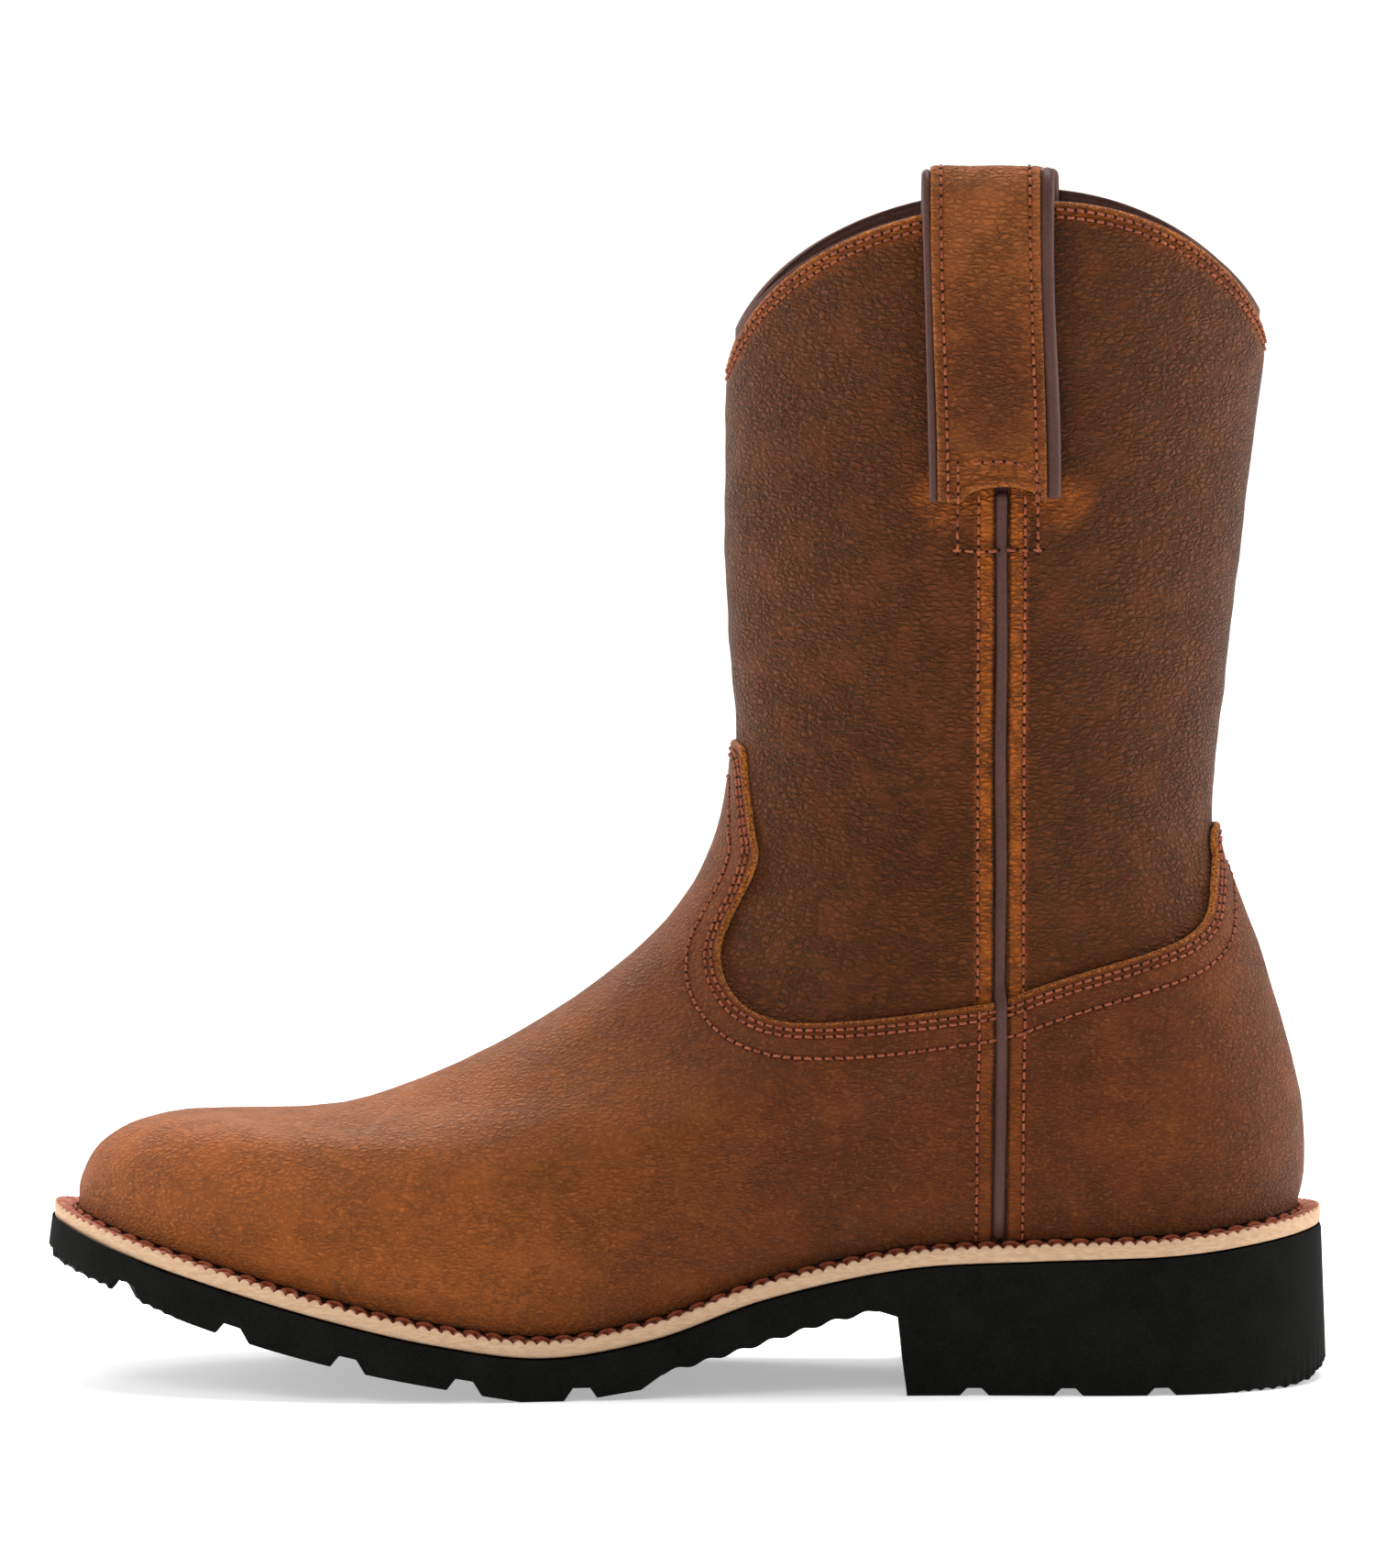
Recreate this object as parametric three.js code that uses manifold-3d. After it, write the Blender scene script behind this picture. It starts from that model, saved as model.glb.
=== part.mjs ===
// A pull-on western work boot with a steel toe, for the left foot.
// +Z is up, the toe points to -X, and the outer side of the foot faces -Y.
// The origin is on the ground, under the middle of the outsole. Sizes are in millimetres.
import * as THREE from "three";
import { mergeVertices } from "three/addons/utils/BufferGeometryUtils.js";
import Module from "manifold-3d";

const wasm = await Module();
wasm.setup();

// ---------- driving dimensions ----------
const LAST_LENGTH = 293.2; // upper at the welt, back of the heel to the toe
const LAST_WIDTH = 92; // upper at the welt, across the ball of the foot
const ANKLE_HEIGHT = 130;
const COLLAR_HEIGHT = 288.4; // top edge at its highest
const FRONT_DIP = 51; // how far the collar falls at the front
const BACK_DIP = 43.8;
const COLLAR_PEAK_X = 86;

const GAP = 0.4; // between layers that lie on each other
const SEAT_GAP = 0.6; // between the upper's facets and the welt
const LEATHER = 1.8;
const LINING = 1.0;

const WELT_REACH = 5.8; // welt beyond the upper
const WELT_THICKNESS = 4.2;
const TOE_LEAN = 4; // and leans this much more at the toe
const SOLE_FLARE = 1.8; // the sole widens this much towards the ground
const BOARD_THICKNESS = 2.5;
const FOOTBED_THICKNESS = 4.6;
const COVER_THICKNESS = 0.8;
const FOOTBED_CLEARANCE = 1.3; // all round, so that it pulls out
const FOOTBED_HEEL_ROOM = 2.5;
const RIB_INSET = 8;
const RIB_THICKNESS = 2.2;
const CAVITY_DEPTH = 3.5; // between the outsole and the insole board

const SHANK_LENGTH = 96;
const SHANK_WIDTH = 16;
const SHANK_THICKNESS = 2;
const CAP_DEPTH = 58.6; // steel toe cap, tip to rear edge
const CAP_EDGE_WIDTH = 4;
const STIFFENER_HEIGHT = 43; // heel stiffener above the welt

const SEAM_X = 75.4;
const PIPING_RADIUS = 1.3;
const PIPING_STAND = 1.0; // how far the piping stands out of the leather

const STRAP_X = [72.4, 74.9]; // outer and inner side
const STRAP_WIDTH = 26;
const STRAP_LEATHER = 2;
const STRAP_BACKING = 1.2;
const STRAP_OUTER_DROP = 72.8; // from the collar down the outside
const STRAP_INNER_DROP = 40;
const STRAP_RISE = [5.3, 2.2]; // free space over the collar, outer and inner side
const STRAP_CORD_RADIUS = 1.4;
const LINING_CURVE = 32.5; // tightest radius of the lining beside a strap, with room for its cords
const STRAP_ARCH_WIDTH = 18.6;
const STRAP_ARCH_HEIGHT = 3.5;

const LUG_PITCH = 28.2;
const LUG_GAP = 8.5;
const LUG_DEPTH = 3.1;
const LUG_COUNT = 5;
const HEEL_LUG_PITCH = 22.7;
const HEEL_LUG_GAP = 7;
const HEEL_LUG_DEPTH = 1.8;
const HEEL_LUG_COUNT = 3;

const RING_STEPS = 34; // facets round the upper
const OUTLINE_STEPS = 44; // facets round the sole
const CUT_REACH = 400; // side cuts run this far past the boot

// ---------- scales of the drawn shape ----------
const along = LAST_LENGTH / 293.2;
const across = LAST_WIDTH / 92;
const shaftHeight = (share) => ANKLE_HEIGHT + share * (COLLAR_HEIGHT - ANKLE_HEIGHT);
const halfLength = LAST_LENGTH / 2;

// ---------- curves ----------
// A smooth curve through values at equal steps of t, from 0 to 1.
function through(values, t) {
  const last = values.length - 1;
  const at = THREE.MathUtils.clamp(t, 0, 1) * last;
  const i = Math.min(Math.floor(at), last - 1);
  const f = at - i;
  const value = (k) => {
    if (k < 0) return 2 * values[0] - values[1];
    if (k > last) return 2 * values[last] - values[last - 1];
    return values[k];
  };
  const [a, b, c, d] = [value(i - 1), value(i), value(i + 1), value(i + 2)];
  return b + 0.5 * f * (c - a + f * (2 * a - 5 * b + 4 * c - d + f * (3 * (b - c) + d - a)));
}

const smooth = (points, steps) =>
  new THREE.SplineCurve(points.map(([x, z]) => new THREE.Vector2(x, z)))
    .getPoints(steps)
    .map((p) => [p.x, p.y]);

// Height of a polyline at x; its points run towards +x.
function heightOf(points, x) {
  const i = THREE.MathUtils.clamp(
    points.findIndex((p) => p[0] > x),
    1,
    points.length - 1,
  );
  const share = points.some((p) => p[0] > x) ? i : points.length - 1;
  const [[xa, za], [xb, zb]] = [points[share - 1], points[share]];
  return za + ((x - xa) / (xb - xa)) * (zb - za);
}

// Top of the outsole seen from the side: toe spring, ball, arch and heel seat.
const SOLE_TOP = smooth(
  [
    [-158, 40],
    [-141, 34.4],
    [-113.5, 26.5],
    [-86.7, 19.2],
    [-60.2, 13.2],
    [-34, 9.9],
    [-7.5, 14],
    [19, 23.2],
    [52, 30.1],
    [85, 32],
    [118, 33.2],
    [140, 35.6],
    [158, 38.2],
  ].map(([x, z]) => [x * along, z]),
  26,
);
const soleTop = (x) => heightOf(SOLE_TOP, x);
const featherHeight = (x) => soleTop(x) + GAP + WELT_THICKNESS + SEAT_GAP;

// ---------- the last: one closed surface of rings, from the welt up past the collar ----------
// Each ring runs from a point on the heel line to a point on the toe line. Its half width at any place is
// the fullness there times the sine of the ring angle, so equal fullness all round is an ellipse.
const FOOT_RINGS = [
  { front: [-146.6, 43.7], back: [146.6, 42.1], sag: 1, outer: [60, 34.5, 35.5, 51, 62], inner: [60, 33, 29, 51, 62] },
  { front: [-145.8, 49.8], back: [148.6, 52], sag: 0.86, outer: [64, 38.5, 39.5, 54, 64], inner: [64, 37.5, 34, 54.5, 64] },
  { front: [-141, 57.4], back: [148, 64], sag: 0.66, outer: [64, 40, 42.5, 53, 58], inner: [64, 39.5, 38, 53.5, 58] },
  { front: [-128.5, 62], back: [145.8, 76], sag: 0.44, outer: [63, 40.5, 44, 49.5, 49], inner: [63, 40, 41, 49.5, 49] },
  { front: [-104, 62.4], back: [143.2, 86], sag: 0.24, outer: [60, 40.5, 44.5, 45, 40], inner: [60, 40.5, 43, 44.5, 40] },
  { front: [-78.2, 66.2], back: [140.3, 95], sag: 0.1, outer: [56, 41, 43, 40.5, 35] },
  { front: [-50.4, 77.1], back: [136.9, 106], sag: 0.03, outer: [51, 40.5, 41, 37, 32] },
  { front: [-25.4, 91.8], back: [132.5, 118], sag: 0, outer: [45, 39.5, 39.5, 35.5, 31] },
  { front: [-3.8, 109.9], back: [128.4, 130], sag: 0, outer: [41, 38.5, 38.5, 35.5, 31.5] },
  { front: [8.1, 129.7], back: [128.3, 142], sag: 0, outer: [38, 38, 38.5, 36.5, 34] },
];
const SHAFT_RINGS = [
  { front: [12.3, 0.162], back: [129.4, 0.182], outer: [38, 38.5, 39.5, 38, 36.5] },
  { front: [9.8, 0.325], back: [132.2, 0.331], outer: [40, 41, 42, 40.5, 39] },
  { front: [9.3, 0.487], back: [135.3, 0.5], outer: [42, 43.5, 44.5, 43, 41] },
  { front: [9.4, 0.675], back: [138.9, 0.675], outer: [43.5, 45.5, 46.5, 45, 42.5] },
  { front: [9.4, 0.86], back: [141.8, 0.86], outer: [44.5, 47, 48, 46.5, 43.5] },
  { front: [9, 1.05], back: [144, 1.05], outer: [45, 47.5, 48.5, 47, 44] },
];
const RINGS = [
  ...FOOT_RINGS,
  ...SHAFT_RINGS.map((r) => ({
    front: [r.front[0], shaftHeight(r.front[1])],
    back: [r.back[0], shaftHeight(r.back[1])],
    sag: 0,
    outer: r.outer,
  })),
].map((r) => ({
  frontX: r.front[0] * along,
  frontZ: r.front[1],
  backX: r.back[0] * along,
  backZ: r.back[1],
  sag: r.sag,
  outer: r.outer.map((w) => w * across),
  inner: (r.inner ?? r.outer).map((w) => w * across),
}));
const ringValue = (key, v) => through(RINGS.map((r) => r[key]), v);
const chord = (a, b, share) => a + (b - a) * share;

// The outside of the shaft leather: v climbs from the welt (0) to above the collar (1), and angle goes
// from the heel line (0) along the outer side to the toe line (PI) and back along the inner side.
function lastPoint(angle, v) {
  const share = (1 - Math.cos(angle)) / 2;
  const x = chord(ringValue("backX", v), ringValue("frontX", v), share);
  const side = Math.sin(angle) >= 0 ? "outer" : "inner";
  const fullness = through([0, 1, 2, 3, 4].map((k) => through(RINGS.map((r) => r[side][k]), v)), share);
  const level = chord(ringValue("backZ", v), ringValue("frontZ", v), share);
  const footX = chord(RINGS[0].backX, RINGS[0].frontX, share);
  const sag = featherHeight(footX) - chord(RINGS[0].backZ, RINGS[0].frontZ, share);
  return new THREE.Vector3(x, -fullness * Math.sin(angle), level + ringValue("sag", v) * sag);
}

function lastNormal(angle, v) {
  const step = 0.01;
  const low = Math.max(v - step, 0);
  const up = lastPoint(angle, Math.min(v + step, 1)).sub(lastPoint(angle, low));
  const round = lastPoint(angle + step, v).sub(lastPoint(angle - step, v));
  const normal = up.cross(round).normalize();
  // It lies level at the welt, so that every layer ends on the welt's flat top.
  normal.z *= THREE.MathUtils.smoothstep(v, 0, 1 / (RINGS.length - 1));
  return normal.normalize();
}

function layerPoint(angle, v, offset) {
  const on = lastPoint(angle, v);
  const off = on.clone().addScaledVector(lastNormal(angle, v), offset);
  off.z += ringValue("sag", v) * (featherHeight(off.x) - featherHeight(on.x));
  return off;
}

// ---------- solids ----------
function solid(geometry) {
  const bare = geometry.clone();
  bare.deleteAttribute("normal");
  bare.deleteAttribute("uv");
  const merged = mergeVertices(bare, 1e-4);
  return new wasm.Manifold(
    new wasm.Mesh({
      numProp: 3,
      vertProperties: new Float32Array(merged.attributes.position.array),
      triVerts: new Uint32Array(merged.index.array),
    }),
  );
}

function geometryOf(made) {
  const mesh = made.getMesh();
  return new THREE.BufferGeometry()
    .setAttribute("position", new THREE.BufferAttribute(mesh.vertProperties, 3))
    .setIndex(new THREE.BufferAttribute(mesh.triVerts, 1));
}

const shapeOf = (points) => new THREE.Shape(points.map(([x, y]) => new THREE.Vector2(x, y)));

// An outline drawn from the side, in x and z, cut right through the boot.
function sideCut(points, low = -CUT_REACH, high = CUT_REACH) {
  const geometry = new THREE.ExtrudeGeometry(shapeOf(points), { depth: high - low, bevelEnabled: false });
  return solid(geometry.rotateX(Math.PI / 2).translate(0, high, 0));
}

// An outline drawn from above, standing from low to high.
function planBlock(points, low, high) {
  const geometry = new THREE.ExtrudeGeometry(shapeOf(points), { depth: high - low, bevelEnabled: false });
  return solid(geometry.translate(0, 0, low));
}

// One layer of the upper, all the way round: a wall from inner to outer, measured off the last.
const ROWS = [0, 0.5, 1, 1.5, 2, 2.5, 3.2, 4, 5, 6, 7, 8, 9, 10, 11.5, 13, 15];
function layer(inner, outer) {
  const position = [];
  const index = [];
  const rows = ROWS.map((row) => row / (RINGS.length - 1));
  for (const offset of [outer, inner])
    for (const v of rows)
      for (let i = 0; i < RING_STEPS; i++)
        position.push(...layerPoint((i / RING_STEPS) * 2 * Math.PI, v, offset).toArray());
  const corner = (wall, row, i) => (wall * rows.length + row) * RING_STEPS + (i % RING_STEPS);
  const quad = (a, b, c, d) => index.push(a, b, c, a, c, d);
  for (let i = 0; i < RING_STEPS; i++) {
    for (let row = 0; row + 1 < rows.length; row++) {
      quad(corner(0, row, i), corner(0, row, i + 1), corner(0, row + 1, i + 1), corner(0, row + 1, i));
      quad(corner(1, row, i), corner(1, row + 1, i), corner(1, row + 1, i + 1), corner(1, row, i + 1));
    }
    const top = rows.length - 1;
    quad(corner(0, top, i), corner(0, top, i + 1), corner(1, top, i + 1), corner(1, top, i));
    quad(corner(0, 0, i), corner(1, 0, i), corner(1, 0, i + 1), corner(0, 0, i + 1));
  }
  const geometry = new THREE.BufferGeometry()
    .setAttribute("position", new THREE.Float32BufferAttribute(position, 3))
    .setIndex(index);
  const made = solid(geometry);
  return made.volume() < 0 ? solid(geometry.setIndex(index.reverse())) : made;
}

// The plan of the upper at the welt, moved outwards by offset.
function footOutline(offset) {
  return Array.from({ length: OUTLINE_STEPS }, (_, i) => {
    const angle = (i / OUTLINE_STEPS) * 2 * Math.PI;
    const before = lastPoint(angle - 0.01, 0);
    const after = lastPoint(angle + 0.01, 0);
    const outwards = new THREE.Vector2(before.y - after.y, after.x - before.x).normalize();
    const at = lastPoint(angle, 0);
    return [at.x + outwards.x * offset, at.y + outwards.y * offset];
  });
}

// A plate that follows the top of the outsole, from low to high above it, between two places along x.
function plate(offset, low, high, from = -CUT_REACH, to = CUT_REACH) {
  const line = SOLE_TOP.filter(([x]) => x > from && x < to);
  const ends = [Math.max(from, SOLE_TOP[0][0]), Math.min(to, SOLE_TOP.at(-1)[0])];
  const path = [[ends[0], soleTop(ends[0])], ...line, [ends[1], soleTop(ends[1])]].filter(
    (p, i, all) => i === 0 || p[0] - all[i - 1][0] > 0.01,
  );
  const band = [...path.map(([x, z]) => [x, z + low]), ...path.map(([x, z]) => [x, z + high]).reverse()];
  return planBlock(footOutline(offset), -10, 90).intersect(sideCut(band));
}

// ---------- outsole ----------
const SOLE_BOTTOM_FRONT = smooth(
  [
    [-155, 29.5],
    [-142.9, 25],
    [-121, 18],
    [-98.9, 11.8],
    [-76.7, 6.7],
    [-54.7, 2.6],
    [-40, 0],
  ].map(([x, z]) => [x * along, z]),
  10,
);
const SOLE_BOTTOM_ARCH = smooth(
  [
    [-6.4, 5.6],
    [11.2, 10.5],
    [22.3, 13.9],
    [33.3, 17.2],
    [46.5, 20.4],
  ].map(([x, z]) => [x * along, z]),
  14,
);
const RIPPLE_HEIGHT = 0.9;
const BALL_FLAT_END = -26 * along;
const BREAST_TOP = [51 * along, 19];
const BREAST_FOOT = [53 * along, 0];
const FIRST_LUG_X = -25.4 * along;
const FIRST_HEEL_LUG_X = 69.3 * along;
const welted = LEATHER + GAP + WELT_REACH; // from the last to the edge of the welt

function notch(x, z, slope, mouth, depth) {
  const at = (dx, dz) => [x + dx, z + slope * dx + dz];
  return sideCut([
    at(-mouth / 2 - 1, -1),
    at(-mouth / 4, depth),
    at(mouth / 4, depth),
    at(mouth / 2 + 1, -1),
    at(mouth / 2, -30),
    at(-mouth / 2, -30),
  ]);
}

function outsole() {
  const low = footOutline(welted + SOLE_FLARE).map(([x, y]) => [
    x - TOE_LEAN * THREE.MathUtils.smoothstep(-x, 0.8 * halfLength, halfLength),
    y,
  ]);
  const high = footOutline(welted);
  const wall = new THREE.ExtrudeGeometry(shapeOf(low), { depth: 1, bevelEnabled: false });
  // The block stands on the wide outline and narrows to the welt's outline at its top.
  const position = wall.attributes.position;
  for (let i = 0; i < position.count; i++) {
    const isTop = position.getZ(i) > 0.5;
    if (isTop) {
      const k = low.findIndex(([x, y]) => Math.hypot(x - position.getX(i), y - position.getY(i)) < 1e-3);
      position.setXY(i, high[k][0], high[k][1]);
    }
    position.setZ(i, isTop ? 45 : 0);
  }
  const ripples = SOLE_BOTTOM_ARCH.map(([x, z], i) => [x, z + (i % 2 ? RIPPLE_HEIGHT : 0)]);
  const end = halfLength + welted + SOLE_FLARE;
  const profile = [
    [-CUT_REACH * along, 36],
    [-end, 33],
    ...SOLE_BOTTOM_FRONT,
    [BALL_FLAT_END, 0],
    [-11 * along, 2.3],
    ...ripples,
    BREAST_TOP,
    BREAST_FOOT,
    [end - 9, 0],
    [end - 4, 0.9],
    [end, 4.5],
    [CUT_REACH * along, 4.5],
    ...[...SOLE_TOP].reverse(),
  ];
  profile[profile.length - SOLE_TOP.length - 1] = [SOLE_TOP.at(-1)[0] + 20, 4.5];
  profile[0] = [SOLE_TOP[0][0] - 20, 36];
  let made = solid(wall).intersect(sideCut(profile));
  for (let i = 0; i < LUG_COUNT; i++) {
    const x = FIRST_LUG_X - i * LUG_PITCH * along;
    const z = x > SOLE_BOTTOM_FRONT.at(-1)[0] ? 0 : heightOf(SOLE_BOTTOM_FRONT, x);
    const slope = x > SOLE_BOTTOM_FRONT.at(-1)[0] ? 0 : heightOf(SOLE_BOTTOM_FRONT, x + 1) - z;
    made = made.subtract(notch(x, z, slope, LUG_GAP, LUG_DEPTH));
  }
  for (let i = 0; i < HEEL_LUG_COUNT; i++)
    made = made.subtract(notch(FIRST_HEEL_LUG_X + i * HEEL_LUG_PITCH * along, 0, 0, HEEL_LUG_GAP, HEEL_LUG_DEPTH));
  return made;
}

// ---------- bottom stack ----------
const welt = () =>
  plate(welted, GAP, GAP + WELT_THICKNESS).subtract(planBlock(footOutline(-LINING - LEATHER - GAP), -20, 100));
const boardInset = LEATHER + LINING + 2 * GAP + 0.3; // inside the lining's inner face
const insoleBoard = () => plate(-boardInset - 0.3, CAVITY_DEPTH, CAVITY_DEPTH + BOARD_THICKNESS);
const cavityTop = CAVITY_DEPTH - GAP;
const insoleRib = () =>
  plate(-RIB_INSET, GAP, cavityTop).subtract(planBlock(footOutline(-RIB_INSET - RIB_THICKNESS), -20, 100));
const fillerInset = RIB_INSET + RIB_THICKNESS + GAP;
const shankStart = 8 * along;
const shankEnd = shankStart + SHANK_LENGTH;
const shankBlock = (extra) =>
  planBlock(
    [
      [shankStart - extra, -SHANK_WIDTH / 2 - extra],
      [shankEnd + extra, -SHANK_WIDTH / 2 - extra],
      [shankEnd + extra, SHANK_WIDTH / 2 + extra],
      [shankStart - extra, SHANK_WIDTH / 2 + extra],
    ],
    -20,
    100,
  );
const corkFiller = () => plate(-fillerInset, GAP, cavityTop, -CUT_REACH, shankStart - 2 * GAP);
const heelFiller = () =>
  plate(-fillerInset, GAP, cavityTop, shankStart - GAP, CUT_REACH).subtract(shankBlock(GAP));
const shank = () => plate(-fillerInset, GAP, GAP + SHANK_THICKNESS).intersect(shankBlock(0));
const footbedInset = boardInset + FOOTBED_CLEARANCE;
const footbedLow = CAVITY_DEPTH + BOARD_THICKNESS + GAP;
const footbedEnd = halfLength - footbedInset - FOOTBED_HEEL_ROOM;
const footbed = () => plate(-footbedInset, footbedLow, footbedLow + FOOTBED_THICKNESS, -CUT_REACH, footbedEnd);
const coverLow = footbedLow + FOOTBED_THICKNESS + GAP / 2;
const footbedCover = () => plate(-footbedInset, coverLow, coverLow + COVER_THICKNESS, -CUT_REACH, footbedEnd);

// ---------- pattern outlines of the upper, seen from the side ----------
const EDGE_STEPS = 12;
const COLLAR_STEPS = 11;
const scaled = (points) => points.map(([x, z]) => [x * along, z]);
const seamX = SEAM_X * along;
const seamFront = seamX - PIPING_RADIUS - GAP;
const seamBack = seamX + PIPING_RADIUS + GAP;
const FAR = CUT_REACH;
const TONGUE_TOP = 155.6;
const TAB_TOP = 135.5;

const VAMP_CURVE = scaled([
  [69.8, 94.6],
  [46.6, 92],
  [24.5, 90.9],
  [15, 93.3],
  [8.4, 99.9],
  [7.3, 107.4],
  [11, 116.2],
  [16.1, 128.2],
]);
const TONGUE_EDGE = scaled([
  [14.4, 140.5],
  [12.8, TONGUE_TOP],
]);
const COUNTER_CURVE = scaled([
  [81.4, 97.8],
  [95, 102],
  [112.8, 107],
  [122.6, 110.8],
  [127, 114.8],
  [128, 121],
  [128.7, TAB_TOP],
]);
const SEAM_EDGE_Z = 95.1; // where the vamp meets the side seam
const COUNTER_EDGE_Z = 95.9;

const lowerFront = (edge, x) => [...edge, [-FAR, edge.at(-1)[1]], [-FAR, -FAR], [x, -FAR]];
const vampEdge = [[seamFront, SEAM_EDGE_Z], ...smooth(VAMP_CURVE, EDGE_STEPS), ...TONGUE_EDGE];
const counterEdge = [[seamBack, COUNTER_EDGE_Z], ...smooth(COUNTER_CURVE, EDGE_STEPS)];
const counterOutline = [...counterEdge, [FAR, TAB_TOP], [FAR, -FAR], [seamBack, -FAR]];

const drop = (points, by) => points.map(([x, z]) => [x, z - by]);
const SHAFT_FRONT_HEM = scaled([
  [69.8, 79.9],
  [40, 77],
  [12, 79],
  [-6, 90],
]);
const SHAFT_BACK_HEM = scaled([
  [90, 80],
  [120, 84],
  [150, 90],
]);

// From peak to dip on one side: a squared ellipse, flatter on top the higher the power.
function collarArc(end, fall, power) {
  const peak = COLLAR_PEAK_X * along;
  return Array.from({ length: COLLAR_STEPS + 1 }, (_, i) => {
    const share = Math.sin(((i / COLLAR_STEPS) * Math.PI) / 2);
    return [peak + (end - peak) * share, COLLAR_HEIGHT - fall * (1 - (1 - share ** power) ** (1 / power))];
  });
}
const collarFront = collarArc(RINGS.at(-2).frontX - 1, FRONT_DIP, 2.15);
const collarBack = collarArc(RINGS.at(-2).backX + 0.5, BACK_DIP, 1.95);
const collarLine = [
  [-FAR, COLLAR_HEIGHT - FRONT_DIP],
  ...collarFront.reverse(),
  ...collarBack.slice(1),
  [FAR, COLLAR_HEIGHT - BACK_DIP],
];
const underCollar = [...collarLine, [FAR, -FAR], [-FAR, -FAR]];

const LINING_SPLIT_FRONT = 118;
const LINING_SPLIT_BACK = 112;

// ---------- side seam piping ----------
// v where the side of the last reaches a height at the seam, and the angle of the seam there.
const seamAngle = (v) => {
  const share = (ringValue("backX", v) - seamX) / (ringValue("backX", v) - ringValue("frontX", v));
  return Math.acos(1 - 2 * share);
};
function seamAt(height) {
  let [low, high] = [0, 1];
  for (let i = 0; i < 40; i++) {
    const mid = (low + high) / 2;
    if (lastPoint(seamAngle(mid), mid).z < height) low = mid;
    else high = mid;
  }
  return { v: low, angle: seamAngle(low) };
}
const PIPING_STEPS = 18;
const CORD_STEPS = 20;
const tube = (path, radius, sides, steps) => {
  const section = new THREE.Shape(
    Array.from({ length: sides }, (_, i) => {
      const a = (i / sides) * 2 * Math.PI;
      return new THREE.Vector2(radius * Math.cos(a), radius * Math.sin(a));
    }),
  );
  return solid(new THREE.ExtrudeGeometry(section, { steps, extrudePath: path, bevelEnabled: false }));
};

function sidePiping(side) {
  const low = featherHeight(seamX) + GAP;
  const high = COLLAR_HEIGHT - STRAP_OUTER_DROP + STRAP_ARCH_HEIGHT - GAP;
  const sunk = PIPING_STAND - PIPING_RADIUS;
  const points = Array.from({ length: PIPING_STEPS + 1 }, (_, i) => {
    const z = low + ((high - low) * i) / PIPING_STEPS;
    const { v, angle } = seamAt(z);
    const onVamp = 1 - THREE.MathUtils.smoothstep(z, SEAM_EDGE_Z - 5, SEAM_EDGE_Z + 6);
    return layerPoint(side * angle, v, sunk + onVamp * (LEATHER + GAP));
  });
  return tube(new THREE.CatmullRomCurve3(points), PIPING_RADIUS, 8, PIPING_STEPS);
}

// ---------- pull straps ----------
const wallThickness = LEATHER + GAP + LINING;
const strapInnerGap = GAP + (STRAP_WIDTH / 2) ** 2 / (2 * LINING_CURVE); // the flat strap clears the curved lining at its edges
const LOOP_STEPS = 8;
const LEG_STEPS = 5;
// The inside of the strap's loop as [distance from the boot's middle, height], from the foot of its outer
// leg over the collar to the foot of its inner leg.
function strapPath(rise) {
  const wallAt = (z) => {
    const { v, angle } = seamAt(z);
    return -lastPoint(angle, v).y;
  };
  const leg = (from, to, inset) =>
    Array.from({ length: LEG_STEPS + 1 }, (_, i) => {
      const z = from + ((to - from) * i) / LEG_STEPS;
      return [wallAt(z) + inset, z];
    });
  const width = wallAt(COLLAR_HEIGHT);
  const innerFace = -wallThickness - strapInnerGap;
  const low = COLLAR_HEIGHT - 1.5;
  const loop = new THREE.EllipseCurve(
    width + (GAP + innerFace) / 2,
    low,
    (GAP - innerFace) / 2,
    rise + 1.5,
    0,
    Math.PI,
  );
  return [
    ...leg(COLLAR_HEIGHT - STRAP_OUTER_DROP, low - 3, GAP),
    ...loop.getPoints(LOOP_STEPS).map((p) => [p.x, p.y]),
    ...leg(low - 3, COLLAR_HEIGHT - STRAP_INNER_DROP, innerFace),
  ];
}

// The loop moved outwards off its inside.
function strapLine(rise, offset) {
  const path = strapPath(rise);
  return path.map((at, i) => {
    const [a, b] = [path[Math.max(i - 1, 0)], path[Math.min(i + 1, path.length - 1)]];
    const length = Math.hypot(b[0] - a[0], b[1] - a[1]);
    return [at[0] + ((b[1] - a[1]) / length) * offset, at[1] - ((b[0] - a[0]) / length) * offset];
  });
}

const SIDES = {
  outer: { sign: 1, strapX: STRAP_X[0] * along, rise: STRAP_RISE[0] },
  inner: { sign: -1, strapX: STRAP_X[1] * along, rise: STRAP_RISE[1] },
};

function strapBand({ sign, strapX, rise }, from, to) {
  const band = [...strapLine(rise, from), ...strapLine(rise, to).reverse()];
  const geometry = new THREE.ExtrudeGeometry(shapeOf(band.map(([y, z]) => [-sign * y, z])), {
    depth: STRAP_WIDTH,
    bevelEnabled: false,
  });
  // Drawn in y and z, so it is turned to be extruded along x.
  const upright = new THREE.Matrix4().set(0, 0, 1, strapX - STRAP_WIDTH / 2, 1, 0, 0, 0, 0, 1, 0, 0, 0, 0, 0, 1);
  const archFoot = COLLAR_HEIGHT - STRAP_OUTER_DROP - 0.5;
  const archWidth = STRAP_ARCH_WIDTH / 2;
  const arch = new THREE.EllipseCurve(seamX, archFoot, archWidth, STRAP_ARCH_HEIGHT + 0.5, 0, Math.PI);
  const opening = [
    ...arch.getPoints(10).map((p) => [p.x, p.y]),
    [seamX - archWidth, archFoot - 10],
    [seamX + archWidth, archFoot - 10],
  ];
  return solid(geometry.applyMatrix4(upright)).subtract(sideCut(opening));
}

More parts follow.
